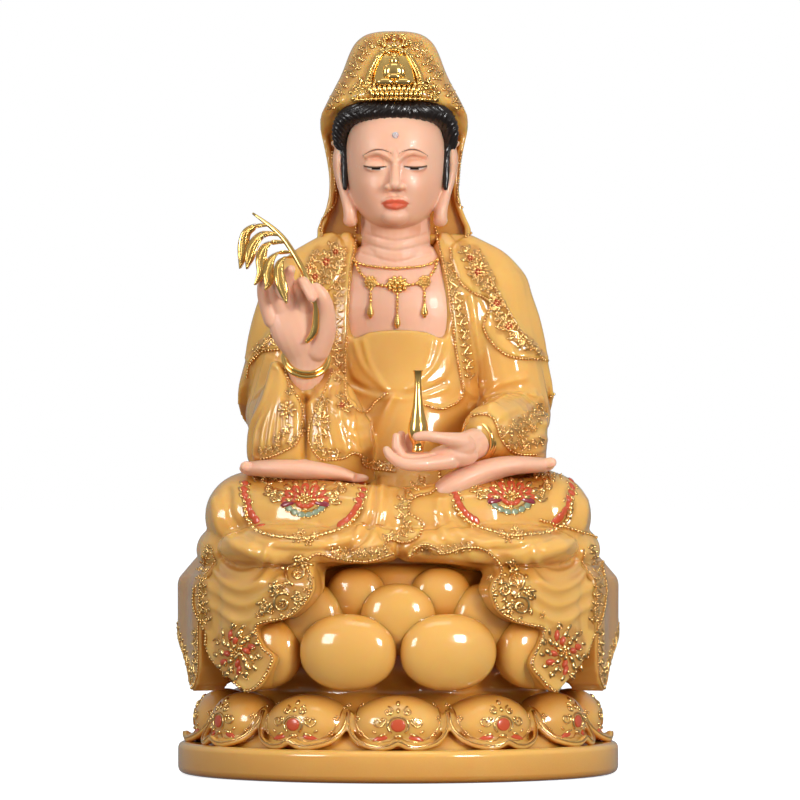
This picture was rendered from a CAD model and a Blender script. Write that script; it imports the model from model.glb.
# %% [markdown]
# # A seated Guanyin in honey-coloured resin
#
# The statue is one casting in a resin coloured like honey jade. It is tinted all through, so light
# goes a few millimetres in and comes out warmer. Face, hands and feet are painted, the hair is
# painted black, and every hem is raised in fine relief and gilded by hand. The crown, necklace,
# bracelets, willow sprig and vase are separate gold-plated fittings.
#
# All shapes are drawn in millimetres on a front elevation and brought to metres at the end.

# %% The drawing grid and the frame
import math
import bmesh
import bpy
import numpy as np
from mathutils import Matrix, Vector
from mathutils.bvhtree import BVHTree


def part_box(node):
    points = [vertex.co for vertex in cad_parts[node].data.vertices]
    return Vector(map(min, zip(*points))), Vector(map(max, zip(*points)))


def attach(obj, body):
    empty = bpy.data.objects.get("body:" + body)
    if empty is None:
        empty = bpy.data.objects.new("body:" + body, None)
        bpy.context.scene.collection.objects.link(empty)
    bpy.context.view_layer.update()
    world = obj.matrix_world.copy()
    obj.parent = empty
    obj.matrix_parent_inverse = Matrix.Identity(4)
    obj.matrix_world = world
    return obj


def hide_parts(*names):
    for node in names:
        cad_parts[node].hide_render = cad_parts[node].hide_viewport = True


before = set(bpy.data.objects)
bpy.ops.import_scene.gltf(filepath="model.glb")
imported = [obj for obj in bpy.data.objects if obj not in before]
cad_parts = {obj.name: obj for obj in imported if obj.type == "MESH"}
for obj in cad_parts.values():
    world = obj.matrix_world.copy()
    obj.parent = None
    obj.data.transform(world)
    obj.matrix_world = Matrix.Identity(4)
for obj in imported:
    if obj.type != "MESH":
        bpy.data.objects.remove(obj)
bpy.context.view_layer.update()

SQUARE = 0.539          # one square of the front elevation, in millimetres
MIDDLE = 398.0          # its middle column
BASE = 772.0            # its row at the underside
FAR = 3000.0            # the elevation is seen from this far
EYE = 155.0             # and from this height


def on_elevation(points):
    """Columns and rows where points in millimetres are seen."""
    near = 1.0 + points[:, 1] / FAR
    return np.column_stack((MIDDLE + points[:, 0] / near / SQUARE,
                            BASE - (EYE + (points[:, 2] - EYE) / near) / SQUARE))


def from_elevation(column, row, depth):
    """The point seen at a column and row, at a given depth."""
    near = 1.0 + depth / FAR
    return ((column - MIDDLE) * SQUARE * near, depth,
            EYE + ((BASE - row) * SQUARE - EYE) * near)


def spatial(points):
    return [from_elevation(*p) for p in points]


print("frame loaded:", len(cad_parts), "CAD nodes")

# %% [markdown]
# A modeller in clay works with a few simple strokes: press a ball, roll a limb, lay a sheet. The
# same strokes are functions here. Each adds points and faces to a heap, which later becomes one
# piece.

# %% Stroke makers
def smooth_line(points, closed=False, steps=5):
    """A rounded line through points of two or three numbers."""
    p = np.asarray(points, dtype=float)
    n = len(p)
    out = []
    for i in range(n if closed else n - 1):
        if closed:
            a, b, c, d = (p[(i + k) % n] for k in (-1, 0, 1, 2))
        else:
            a, b, c, d = (p[min(max(i + k, 0), n - 1)] for k in (-1, 0, 1, 2))
        for s in range(steps):
            t = s / steps
            out.append(0.5 * (2 * b + (c - a) * t + (2 * a - 5 * b + 4 * c - d) * t ** 2
                              + (3 * b - a - 3 * c + d) * t ** 3))
    if not closed:
        out.append(p[-1])
    return np.array(out)


def even(line, pitch):
    """Points at equal steps along a line."""
    step = np.linalg.norm(np.diff(line, axis=0), axis=1)
    run = np.concatenate(([0.0], np.cumsum(step)))
    marks = np.linspace(0.0, run[-1], max(2, int(round(run[-1] / pitch)) + 1))
    return np.column_stack([np.interp(marks, run, line[:, k]) for k in range(line.shape[1])])


class Heap:
    """Points and faces gathered before they become a piece."""

    def __init__(self):
        self.points = []
        self.faces = []
        self.count = 0

    def add(self, points, faces):
        self.points.append(np.asarray(points, dtype=float))
        self.faces.extend([[k + self.count for k in face] for face in faces])
        self.count += len(points)

    def rings(self, rings, closed=False):
        rings = np.asarray(rings, dtype=float)
        rows, n = rings.shape[:2]
        faces = []
        for i in range(rows if closed else rows - 1):
            j = (i + 1) % rows
            for k in range(n):
                m = (k + 1) % n
                faces.append((i * n + k, i * n + m, j * n + m, j * n + k))
        if not closed:
            faces.append(tuple(range(n))[::-1])
            faces.append(tuple((rows - 1) * n + k for k in range(n)))
        self.add(rings.reshape(-1, 3), faces)

    def ball(self, centre, radii, turn=None, sides=20, rings=12):
        u = np.linspace(0, math.tau, sides, endpoint=False)
        v = np.linspace(0, math.pi, rings + 1)[1:-1]
        p = [(math.sin(b) * math.cos(a), math.sin(b) * math.sin(a), -math.cos(b))
             for b in v for a in u] + [(0, 0, -1), (0, 0, 1)]
        p = np.array(p) * np.asarray(radii)
        if turn is not None:
            p = p @ np.array(turn.to_3x3()).T
        low = len(p) - 2
        faces = []
        for k in range(sides):
            m = (k + 1) % sides
            faces.append((low, m, k))
            faces.append(((rings - 2) * sides + k, (rings - 2) * sides + m, low + 1))
            for r in range(rings - 2):
                faces.append((r * sides + k, r * sides + m, (r + 1) * sides + m, (r + 1) * sides + k))
        self.add(p + np.asarray(centre), faces)

    def tube(self, path, radii, sides=14, across=None, closed=False, ends=False):
        path = [Vector(p) for p in path]
        n = len(path)
        side = Vector(across) if across else None
        rings = []
        for i, p in enumerate(path):
            if closed:
                run = path[(i + 1) % n] - path[i - 1]
            else:
                run = path[min(i + 1, n - 1)] - path[max(i - 1, 0)]
            run.normalize()
            if side is None:
                side = run.orthogonal()
            level = Vector(across) if across else side
            level = (level - run * level.dot(run)).normalized()
            side = level
            through = run.cross(level)
            r = radii[i] if isinstance(radii, (list, tuple, np.ndarray)) else radii
            wide, deep = r if isinstance(r, tuple) else (r, r)
            rings.append([p + level * wide * math.cos(math.tau * k / sides)
                          + through * deep * math.sin(math.tau * k / sides) for k in range(sides)])
        self.rings(rings, closed)
        if ends:
            for i in (0, -1):
                r = radii[i] if isinstance(radii, (list, tuple, np.ndarray)) else radii
                wide = max(r) if isinstance(r, tuple) else r
                deep = min(r) if isinstance(r, tuple) else r
                self.ball(path[i], (wide, deep, deep) if across else (wide,) * 3)

    def limb(self, path, radii, sides=18, across=None):
        """A tapering limb with round ends, its path and its thickness rounded first."""
        flat = [list(p) + (list(r) if isinstance(r, tuple) else [r, r]) for p, r in zip(path, radii)]
        line = smooth_line(flat, steps=4)
        self.tube(line[:, :3], [(a, b) for a, b in line[:, 3:]], sides, across, ends=True)

    def stack(self, rows, sides=64, power=2.2):
        """Levels: height, middle x, middle y, half width, front, back, and a front rise."""
        a = np.linspace(0, math.tau, sides, endpoint=False)
        c, s = np.cos(a), np.sin(a)
        x = np.sign(c) * np.abs(c) ** (2.0 / power)
        y = np.sign(s) * np.abs(s) ** (2.0 / power)
        line = smooth_line([list(r) + [0.0] * (7 - len(r)) for r in rows], steps=3)
        rings = [np.column_stack((r[1] + r[3] * x, r[2] + np.where(y > 0, r[5], r[4]) * y,
                                  r[0] - r[6] * y)) for r in line]
        self.rings(rings)


def mirrored(points):
    return [(-p[0],) + tuple(p[1:]) for p in points]


print("strokes: ball, tube, limb, stack")

# %% [markdown]
# Where balls and limbs overlap, a sculptor smears the clay until there is one skin. `melt` does
# that: it rebuilds the heap on a fine grid and relaxes it. Folds are then pressed in along lines
# of the elevation, as a wire tool would do it.

# %% Melting and pressing
def raw_object(heap, name):
    mesh = bpy.data.meshes.new(name)
    mesh.from_pydata(np.concatenate(heap.points).tolist(), [], heap.faces)
    mesh.validate()
    thing = bpy.data.objects.new(name, mesh)
    bpy.context.scene.collection.objects.link(thing)
    return thing


def baked(thing):
    """The mesh with its modifiers made real."""
    graph = bpy.context.evaluated_depsgraph_get()
    mesh = bpy.data.meshes.new_from_object(thing.evaluated_get(graph))
    old = thing.data
    thing.modifiers.clear()
    thing.data = mesh
    bpy.data.meshes.remove(old)
    return thing


def arrays(mesh):
    n = len(mesh.vertices)
    co = np.empty(n * 3, np.float32)
    mesh.vertices.foreach_get("co", co)
    no = np.empty(n * 3, np.float32)
    mesh.vertex_normals.foreach_get("vector", no)
    return co.reshape(-1, 3).astype(float), no.reshape(-1, 3).astype(float)


def moved(thing, points):
    thing.data.vertices.foreach_set("co", points.astype(np.float32).ravel())
    thing.data.update()


def relaxed(thing, rounds):
    relax = thing.modifiers.new("relax", "SMOOTH")
    relax.factor = 0.5
    relax.iterations = rounds
    return baked(thing)


def melt(heap, name, cell, soft=3, press=(), after=1):
    """One skin from overlapping forms; press(points, normals) carves it."""
    thing = raw_object(heap, name)
    remesh = thing.modifiers.new("skin", "REMESH")
    remesh.mode = "VOXEL"
    remesh.voxel_size = cell
    relaxed(thing, soft)
    for step in press:
        moved(thing, step(*arrays(thing.data)))
    return relaxed(thing, after) if press and after else thing


def line_gap(spots, line):
    best = np.full(len(spots), 1e9)
    for a, b in zip(line[:-1], line[1:]):
        run = b - a
        t = np.clip(((spots - a) @ run) / max(run @ run, 1e-9), 0.0, 1.0)
        best = np.minimum(best, np.hypot(*(spots - a - t[:, None] * run).T))
    return best * SQUARE


def within(spots, outline):
    hit = np.zeros(len(spots), dtype=bool)
    for (ax, ay), (bx, by) in zip(outline, np.roll(outline, -1, axis=0)):
        cross = (ay > spots[:, 1]) != (by > spots[:, 1])
        with np.errstate(divide="ignore", invalid="ignore"):
            reach = ax + (spots[:, 1] - ay) * (bx - ax) / (by - ay)
        hit ^= cross & (spots[:, 0] < reach)
    return hit


def near_box(spots, line, reach):
    low, high = line.min(axis=0) - reach, line.max(axis=0) + reach
    return ((spots > low) & (spots < high)).all(axis=1)


def ridges(points, normals, strokes):
    """Raises or sinks the front along lines: line, half width, height, near and far depth."""
    spots = on_elevation(points)
    front = np.clip(-normals[:, 1] * 2.5, 0.0, 1.0)
    lift = np.zeros(len(points))
    for line, half, height, near, far in strokes:
        line = smooth_line(line)
        close = near_box(spots, line, 3 * half / SQUARE)
        close &= (points[:, 1] > near) & (points[:, 1] < far)
        if close.any():
            lift[close] += height * np.exp(-(line_gap(spots[close], line) / half) ** 2)
    return points + normals * (lift * front)[:, None]


def signed(spots, outline):
    """Distance inwards from an outline."""
    line = smooth_line(outline, closed=True)
    gap = line_gap(spots, np.vstack((line, line[:1])))
    return np.where(within(spots, line), gap, -gap)


def layers(points, normals, panels):
    """Raises whole areas like laid cloth: outline, height, softness, near and far depth."""
    spots = on_elevation(points)
    front = np.clip(-normals[:, 1] * 2.5, 0.0, 1.0)
    lift = np.zeros(len(points))
    for outline, height, soft, near, far in panels:
        close = near_box(spots, np.asarray(outline, float), 2 * soft / SQUARE + 8)
        close &= (points[:, 1] > near) & (points[:, 1] < far)
        if close.any():
            lift[close] += height * np.clip(0.5 + signed(spots[close], outline) / soft, 0.0, 1.0)
    return points + normals * (lift * front)[:, None]


print("melting and pressing ready")

# %% [markdown]
# ## Finishes
#
# Honey resin scatters light inside, so its shader has subsurface scattering with a long red path
# and a short blue one, under a hard gloss coat. Gold plating is a smooth metal. The skin paint is
# satin and slightly translucent over the resin. Colours are written as the sRGB a colour meter
# would read and turned to linear light by one function.

# %% Materials
def linear(code):
    """'#RRGGBB' to linear light."""
    values = [int(code[k:k + 2], 16) / 255.0 for k in (1, 3, 5)]
    light = [v / 12.92 if v <= 0.04045 else ((v + 0.055) / 1.055) ** 2.4 for v in values]
    return (*light, 1.0)


def node(material, kind, links=(), **settings):
    """Adds a node, sets its properties and inputs, and links its inputs."""
    made = material.node_tree.nodes.new(kind)
    for key, value in settings.items():
        if hasattr(made, key):
            setattr(made, key, value)
        else:
            made.inputs[key.replace("_", " ")].default_value = value
    for name, source in links:
        material.node_tree.links.new(source, made.inputs[name])
    return made


def material(name, colour, rough, metal=0.0, coat=0.0, scatter=0.0, radius=(1.0, 0.4, 0.15),
             depth=0.004, ior=1.5):
    made = bpy.data.materials.new(name)
    made.use_nodes = True
    s = made.node_tree.nodes["Principled BSDF"].inputs
    s["Base Color"].default_value = linear(colour)
    s["Roughness"].default_value = rough
    s["Metallic"].default_value = metal
    if not metal:
        s["IOR"].default_value = ior
    s["Coat Weight"].default_value = coat
    s["Coat Roughness"].default_value = 0.04
    s["Subsurface Weight"].default_value = scatter
    s["Subsurface Radius"].default_value = radius
    s["Subsurface Scale"].default_value = depth
    return made


def mixed(made, share, first, second):
    """From the first colour to the second; each is a socket or a code."""
    blend = node(made, "ShaderNodeMix", ((0, share),), data_type="RGBA")
    for place, colour in ((6, first), (7, second)):
        if isinstance(colour, str):
            blend.inputs[place].default_value = linear(colour)
        else:
            made.node_tree.links.new(colour, blend.inputs[place])
    return blend.outputs[2]


def mask_mix(made, below, mask, code):
    """Lays a paint colour where a piece carries that mask."""
    where = node(made, "ShaderNodeAttribute", attribute_name=mask)
    return mixed(made, where.outputs["Fac"], below, code)


def colour_from(made, socket):
    made.node_tree.links.new(socket, made.node_tree.nodes["Principled BSDF"].inputs["Base Color"])


def honey(name, light, dark):
    """Tinted resin, deeper in its hollows, with faint clouds and an amber wash by the gilding."""
    made = material(name, light, 0.15, coat=0.6, scatter=0.7, radius=(1.0, 0.55, 0.18),
                    depth=0.007, ior=1.54)
    place = node(made, "ShaderNodeTexCoord")
    cloud = node(made, "ShaderNodeTexNoise", (("Vector", place.outputs["Object"]),),
                 Scale=1.0 / 0.040, Detail=2.0)
    clouded = mixed(made, cloud.outputs["Fac"], dark, light)
    hollow = node(made, "ShaderNodeAmbientOcclusion", samples=6, Distance=0.030)
    depth = node(made, "ShaderNodeMapRange", (("Value", hollow.outputs["AO"]),), From_Min=0.1,
                 From_Max=0.95)
    deep = mixed(made, depth.outputs[0], "#BE7422", clouded)
    colour_from(made, mask_mix(made, deep, "amber_wash", "#BE7A30"))
    return made


RESIN = honey("honey_resin_gloss", "#F0BF6A", "#E6AE58")
GOLD = material("gold_plating_polished", "#F8CF7C", 0.16, metal=1.0)
GILT = material("gilded_relief", "#F8D08A", 0.24, metal=1.0)
PEACH = "#EFBA9C"
SKIN = material("peach_skin_paint", PEACH, 0.4, coat=0.12, scatter=0.5,
                radius=(1.0, 0.42, 0.22), depth=0.004)
HAIR = material("black_hair_paint", "#1A1210", 0.28, coat=0.2)
CORAL = material("coral_red_enamel", "#C9502C", 0.22, coat=0.5)
WINE = material("wine_red_enamel", "#8A2B35", 0.22, coat=0.5)
JADE = material("blue_green_enamel", "#8A9678", 0.22, coat=0.5)
CRYSTAL = material("cut_crystal", "#F4F8FF", 0.02, ior=1.54)
CRYSTAL.node_tree.nodes["Principled BSDF"].inputs["Transmission Weight"].default_value = 0.6


def paint_skin(made):
    """Lips, brows and lids are painted on the skin with a fine brush."""
    out = PEACH
    for mask, code in (("warm", "#D98A5C"), ("lips", "#DE5B38"), ("white", "#EDE6DE"),
                       ("brow", "#5A2D1C"), ("dark", "#120C0A")):
        out = mask_mix(made, out, mask, code)
    colour_from(made, out)


paint_skin(SKIN)


def set_mask(mesh, name, values):
    made = mesh.attributes.get(name) or mesh.attributes.new(name, "FLOAT", "POINT")
    made.data.foreach_set("value", np.asarray(values, dtype=np.float32))


# The most triangles a piece may keep, so that the whole statue stays under a million.
BUDGET = {"gilded_relief": 165000, "face_neck_and_chest": 150000, "robe_cape_and_sleeves": 95000,
          "robe_lap": 85000, "lotus_lower_petals": 75000, "hair": 75000, "hood": 45000,
          "lotus_upper_petals": 38000, "right_hand": 36000, "left_hand": 34000,
          "crown_plaque": 32000, "feet": 22000, "tail_right": 13000, "tail_left": 13000}


def thinned(thing):
    """Fewer triangles where the surface is calm."""
    count = sum(len(face.vertices) - 2 for face in thing.data.polygons)
    most = BUDGET.get(thing.name, count)
    if count > most:
        thin = thing.modifiers.new("thin", "DECIMATE")
        thin.ratio = most / count
        baked(thing)


def finish_piece(thing, finish, slot, *nodes, smooth=True):
    """To metres, onto the statue's body, with its finish and the CAD node it shows."""
    thinned(thing)
    thing.data.transform(Matrix.Scale(0.001, 4))
    if smooth:
        thing.data.shade_smooth()
    thing.data.materials.clear()
    thing.data.materials.append(finish)
    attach(thing, "root")
    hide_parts(*nodes)
    print(thing.name, len(thing.data.polygons), "faces")
    return thing


print("materials:", len(bpy.data.materials))

# %% [markdown]
# ## The throne
#
# The plinth is turned. Its edges are softened by sanding, because a sharp resin edge chips.

# %% Plinth
profile = [(0, 0), (114.5, 0), (116.2, 0.4), (117.6, 1.4), (118.3, 3.0), (118.45, 5.0),
           (118.45, 12.8), (118.2, 14.8), (117.3, 16.2), (115.8, 16.9), (114.0, 17.1),
           (104.0, 17.0), (96, 17.0), (0, 17.0)]
heap = Heap()
line = [profile[1]] + [tuple(p) for p in smooth_line(profile[1:-1], steps=4)]
turns = 160
heap.rings([[(r * math.cos(math.tau * k / turns), r * math.sin(math.tau * k / turns), z)
             for k in range(turns)] for r, z in line])
finish_piece(raw_object(heap, "plinth"), RESIN, "honey_resin", "guanyin_on_lotus")

# %% [markdown]
# The lotus has twelve down-turned petals at the foot and three rows of twelve upright petals,
# round as eggs. Each petal is a plain swelling form, so the room is mirrored in it twice. The
# lower petals end in a lip with a wavy edge, which is a limb laid along a line round the throne.

# %% Lotus petals
LOWER, UPPER = 12, 12
ROWS = ((0.5, 101.0, 67.5, 25.8, 20.2, 13.8), (0.0, 92.0, 84.5, 20.0, 19.0, 12.5),
        (0.5, 85.5, 96.0, 16.5, 15.8, 11.0))
LIP = ((-25.2, 99.0, 36.0), (-25.6, 103.0, 28.0), (-21.5, 108.0, 21.6), (-13.0, 112.2, 18.4),
       (-5.5, 113.8, 18.6), (0.0, 114.0, 21.0))
LIP = LIP + tuple((-a, r, z) for a, r, z in LIP[-2::-1])


def squared_ball(heap, centre, radii, turn, fullness, sides, rings):
    """An ellipsoid with fuller shoulders."""
    heap.ball((0, 0, 0), (1, 1, 1), sides=sides, rings=rings)
    p = heap.points[-1]
    size = (np.abs(p) ** fullness).sum(axis=1) ** (1.0 / fullness)
    p = p / size[:, None] * np.asarray(radii)
    heap.points[-1] = p @ np.array(turn.to_3x3()).T + np.asarray(centre)


def turned(angle, lean):
    """Faces outwards at an angle round the throne and leans."""
    return Matrix.Rotation(angle, 4, "Z") @ Matrix.Rotation(math.radians(lean), 4, "X")


heap = Heap()
heap.stack([(z, 0, 0, r, r, r) for z, r in
            ((8, 108), (17, 107), (22, 103), (34, 92), (43, 81.5), (47, 80), (52, 82), (60, 86),
             (80, 88), (104, 85), (110, 82), (113.5, 78))], power=2.0, sides=120)
for share, radius, height, half, tall, deep in ROWS:
    for k in range(UPPER):
        turn = math.tau * (k + share) / UPPER
        squared_ball(heap, (radius * math.sin(turn), -radius * math.cos(turn), height),
                     (half, deep, tall), turned(turn, 6), 2.15, 40, 26)
upper = raw_object(heap, "lotus_upper_petals")

heap = Heap()
for k in range(LOWER):
    turn = math.tau * k / LOWER
    out = np.array((math.sin(turn), -math.cos(turn), 0.0))
    heap.ball(out * 91.5 + [0, 0, 28.0], (25.4, 18.8, 17.0), turned(turn, -24), 48, 30)
    heap.ball(out * 96.5 + [0, 0, 20.6], (22.5, 16.0, 4.0), turned(turn, 5), 48, 16)
    rim = []
    for across, reach, z in LIP:
        a = turn + across / reach
        rim.append((reach * math.sin(a), -reach * math.cos(a), z))
    heap.limb(rim, [1.2, 1.5, 1.6, 1.7, 1.8, 1.9, 1.8, 1.7, 1.6, 1.5, 1.2], sides=10)
lower = melt(heap, "lotus_lower_petals", 1.0, 2)
print("petals:", len(upper.data.polygons), len(lower.data.polygons))

# %% [markdown]
# ## The robe over the throne
#
# The robe falls over the petals in two curtains and two side tails. Each one is a sheet laid round
# the throne; its top leans in to the knees. Folds hang between the points that carry the cloth.

# %% Curtains
LEFT_CURTAIN = ((392, 554), (367, 561), (339, 559), (317, 554), (306, 563), (309, 573), (311, 589),
                (302, 604), (286, 617), (263, 622), (255, 627), (256, 636), (263, 649), (272, 657),
                (268, 669), (259, 684), (250, 690), (243, 689), (226, 675), (211, 659), (206, 647),
                (206, 634), (200, 622), (194, 607), (194, 589), (199, 574), (203, 556), (206, 540),
                (260, 520), (340, 525))
RIGHT_CURTAIN = ((410, 556), (421, 545), (436, 548), (441, 554), (466, 548), (483, 549), (499, 563),
                 (501, 574), (494, 584), (493, 594), (499, 609), (516, 621), (542, 627), (544, 632),
                 (539, 646), (532, 661), (536, 672), (554, 690), (566, 682), (587, 654), (594, 636),
                 (602, 616), (606, 589), (602, 566), (600, 540), (540, 520), (460, 525))
SIDE_TAIL = ((60, 122), (61, 100), (62, 78), (62, 58), (64, 49), (68, 45), (71, 49), (76, 58),
             (82, 66), (90, 75), (100, 80), (108, 84), (114, 94), (114, 108), (106, 124), (84, 130))
PANEL_CELL = 3.0                        # squares that a sheet is cut into
LEAN, LEAN_FROM = 0.85, 104.0           # a sheet leans inwards above this height
TAIL_IN, TAIL_OUT = 100.0, 118.8
CURTAIN_IN, CURTAIN_OUT = 98.0, 117.2


def curtain(points, radius):
    """An outline of the elevation as degrees round the throne and heights."""
    out = []
    for column, row in smooth_line(points, closed=True, steps=4):
        depth = -radius * 0.7
        for _ in range(12):
            x, _, z = from_elevation(column, row, depth)
            depth = -math.sqrt(max(radius ** 2 - x ** 2, 0.0))
        out.append((math.degrees(math.asin(max(-1.0, min(1.0, x / radius)))), z))
    return out


def add_panel(heap, outline, inner, outer):
    """A curved sheet round the throne between two radii; its top leans inwards."""
    flat = bmesh.new()
    flat.faces.new([flat.verts.new((math.radians(a) * outer, z, 0.0)) for a, z in outline])
    for axis in (0, 1):
        spread = [v.co[axis] for v in flat.verts]
        for k in range(1, int((max(spread) - min(spread)) / PANEL_CELL) + 1):
            where, way = [0.0] * 3, [0.0] * 3
            where[axis], way[axis] = min(spread) + k * PANEL_CELL, 1.0
            bmesh.ops.bisect_plane(flat, geom=flat.verts[:] + flat.edges[:] + flat.faces[:],
                                   plane_co=where, plane_no=way)
    bmesh.ops.triangulate(flat, faces=flat.faces[:])
    flat.verts.index_update()
    n = len(flat.verts)
    near, far = [], []
    for v in flat.verts:
        a = v.co.x / outer
        lean = LEAN * max(v.co.y - LEAN_FROM, 0.0)
        for out, r in ((near, outer - lean), (far, inner - lean)):
            out.append((r * math.sin(a), -r * math.cos(a), v.co.y))
    faces = []
    for f in flat.faces:
        c = [v.index for v in f.verts]
        faces += [c, [k + n for k in c[::-1]]]
    for e in flat.edges:
        if len(e.link_faces) == 1:
            a, b = (v.index for v in e.verts)
            faces.append((a, a + n, b + n, b))
    flat.free()
    heap.add(near + far, faces)


def hanging_folds(points, normals):
    """Catenary folds between the knee and the throne's side, and rolled hems."""
    strokes = []
    for middle, way in ((240, 1), (560, -1)):
        for drop, reach in ((566, 18), (581, 24), (597, 30), (613, 33)):
            strokes.append((((middle - way * (reach + 6), drop - 14), (middle - way * 12, drop + 3),
                             (middle + way * 4, drop + 8), (middle + way * 20, drop + 1),
                             (middle + way * (reach + 10), drop - 18)), 2.1, 1.5, -140, -40))
    for line in (LEFT_CURTAIN[:27], RIGHT_CURTAIN[:25]):
        strokes.append((line, 1.9, 1.3, -140, -5))
    strokes += [
        (line, half, height, -140, -40) for line, half, height in (
            (((320, 562), (326, 590), (318, 612)), 2.4, -1.2),
            (((210, 570), (218, 600), (214, 640)), 2.6, -1.4),
            (((590, 570), (582, 600), (586, 640)), 2.6, -1.4),
            (((232, 620), (240, 640), (246, 668)), 2.6, 0.9),
            (((570, 620), (560, 640), (552, 668)), 2.6, 0.9))
    ]
    return ridges(points, normals, strokes)


tails = []
for name, way in (("tail_right", -1), ("tail_left", 1)):
    heap = Heap()
    add_panel(heap, [(a * way, z) for a, z in SIDE_TAIL], TAIL_IN, TAIL_OUT)
    thing = melt(heap, name, 1.2, 3)
    co, no = arrays(thing.data)
    turn = np.degrees(np.arctan2(co[:, 0], -co[:, 1])) * way
    wave = np.sin(np.radians((turn - 60) * 13.0 + co[:, 2] * 0.9 + 30.0 * np.sin(co[:, 2] * 0.05)))
    out = co / np.hypot(co[:, 0], co[:, 1])[:, None] * [1, 1, 0]
    grip = np.clip((turn - 62) / 8, 0, 1) * (no * out).sum(axis=1).clip(0, 1)
    moved(thing, co + out * ((wave - 1.0) * 1.5 * grip)[:, None])
    tails.append(thing)
print("side tails laid")

# %% [markdown]
# The figure sits with crossed legs. The knees are two full rounds under the cloth, and the robe is
# drawn tight over the shins, so the folds run from knee to knee.

# %% Lap
KNEE_FOLDS = (
    (((228, 490), (232, 520), (262, 545), (300, 553), (350, 548)), 2.6, -1.8, -140, -30),
    (((570, 490), (566, 520), (536, 543), (500, 550), (450, 545)), 2.6, -1.8, -140, -30),
    (((214, 500), (220, 530), (246, 551), (292, 560), (352, 556), (392, 548)), 2.4, 1.6, -140, -20),
    (((586, 500), (580, 530), (556, 551), (508, 560), (450, 556), (412, 552)), 2.4, 1.6, -140, -20),
    (((372, 482), (368, 510), (356, 534), (330, 548)), 2.6, 1.4, -140, -30),
    (((382, 480), (380, 512), (372, 540), (352, 556)), 2.2, 1.5, -140, -30),
    (((376, 478), (374, 510), (364, 538), (344, 552)), 1.5, -1.2, -140, -30),
    (((446, 500), (450, 520), (462, 536), (486, 546)), 2.4, 1.4, -140, -30),
    (((438, 500), (440, 524), (450, 542), (470, 552)), 2.0, 1.4, -140, -30),
    (((400, 480), (398, 500), (402, 530), (396, 552)), 1.8, -1.0, -140, -30),
)
TAIL_EDGE = ((439, 471), (439, 483), (431, 493), (416, 496.5), (409, 503), (408, 513), (411.5, 516),
             (421.5, 523), (418, 536), (405, 542), (390, 539.5), (384, 546), (388, 555))


def press_lap(points, normals):
    points = layers(points, normals, (
        (TAIL_EDGE + ((352, 556), (360, 520), (376, 480), (395, 472)), 1.8, 1.2, -140, -50),))
    points = ridges(points, normals, KNEE_FOLDS)
    turn = np.degrees(np.arctan2(points[:, 0], -points[:, 1]))
    back = np.clip((np.abs(turn) - 95.0) / 25.0, 0.0, 1.0)
    cloth = np.clip((points[:, 2] - 118.0) / 12.0, 0.0, 1.0)
    wave = np.sin(np.radians(np.abs(turn) * 8.0 + points[:, 2] * 0.9)) ** 3
    return points + normals * (2.0 * back * cloth * wave)[:, None]


heap = Heap()
heap.stack(((104, 0, 4, 82, 78, 70), (116, 0, 2, 92, 80, 72), (132, 0, 2, 93, 74, 70),
            (148, 0, 4, 84, 62, 62), (160, 0, 8, 66, 46, 50), (170, 0, 10, 50, 36, 40)))
for side in (-1, 1):
    heap.ball((side * 78, -33, 138), (25, 30, 24), sides=32, rings=20)
    heap.limb([(side * 78, -38, 137), (side * 44, -60, 136), (side * 2, -66, 134)], [22, 22, 19])
    heap.limb([(side * 30, 18, 144), (side * 74, -20, 141)], [27, 23])
    heap.ball((side * 92, -24, 120), (16, 32, 14))
    heap.ball((side * 52, -62, 122), (44, 42, 14))
    heap.limb([(side * 48, -84, 121.5), (side * 27, -89, 122.5), (side * 6, -86, 122.5)],
              [12, 9.5, 8.5])
for outline in (LEFT_CURTAIN, RIGHT_CURTAIN):
    add_panel(heap, curtain(outline, CURTAIN_OUT), CURTAIN_IN, CURTAIN_OUT)
lap = melt(heap, "robe_lap", 1.2, 4, [press_lap, hanging_folds])
print("lap:", len(lap.data.polygons))

# %% [markdown]
# ## Trunk, cape and sleeves
#
# A short cape lies over both shoulders and ends above the elbows. Wide sleeves come out from under
# it. The raised arm's sleeve hangs in a fan of upright folds, and the lowered arm's sleeve opens
# like a bell at the wrist.

# %% Cape and sleeves
LEFT_LAPEL = ((356, 225), (354.7, 240), (349, 274), (347, 320), (345.5, 355), (345, 389),
              (348, 401), (358.7, 411), (368, 411), (376, 401), (387, 394))
RIGHT_LAPEL = ((435, 228), (438, 240), (446, 274), (451.6, 309), (456, 349), (461, 378),
               (463.7, 391.5), (456, 403), (440, 409), (425, 405))
OPENING = ((358, 226), (355.5, 246), (351, 280), (349.5, 334), (372, 330.5), (398, 328.5),
           (424, 330.5), (446.5, 334), (443, 280), (436, 246), (432, 226))
BIB = ((351, 335), (372, 331.5), (398, 329.5), (424, 331.5), (446, 335), (452, 352), (446, 376),
       (420, 392), (396, 397), (372, 392), (352, 376), (348, 352))
CAPE_RIGHT = ((451, 249), (453.5, 266), (460, 282), (473.6, 293), (484, 297), (491, 305),
              (484, 324), (487, 334.5), (497.7, 348), (513.7, 357), (543, 358.7))
CAPE_FOLD = ((480, 255.5), (489.6, 277), (503, 302), (521.8, 333), (540.5, 356), (550, 364),
             (555, 389.5), (551, 396))
CAPE_LEFT = ((345, 249), (342, 266), (336, 282), (324, 293), (313, 298), (306, 305), (311, 322),
             (303, 335), (283, 347.5), (263, 351), (257, 355), (250, 363))
CAPE_LEFT_FOLD = ((313, 255), (304, 277), (291, 302), (277, 326), (262, 346), (250, 362),
                  (246.6, 377))
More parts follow.
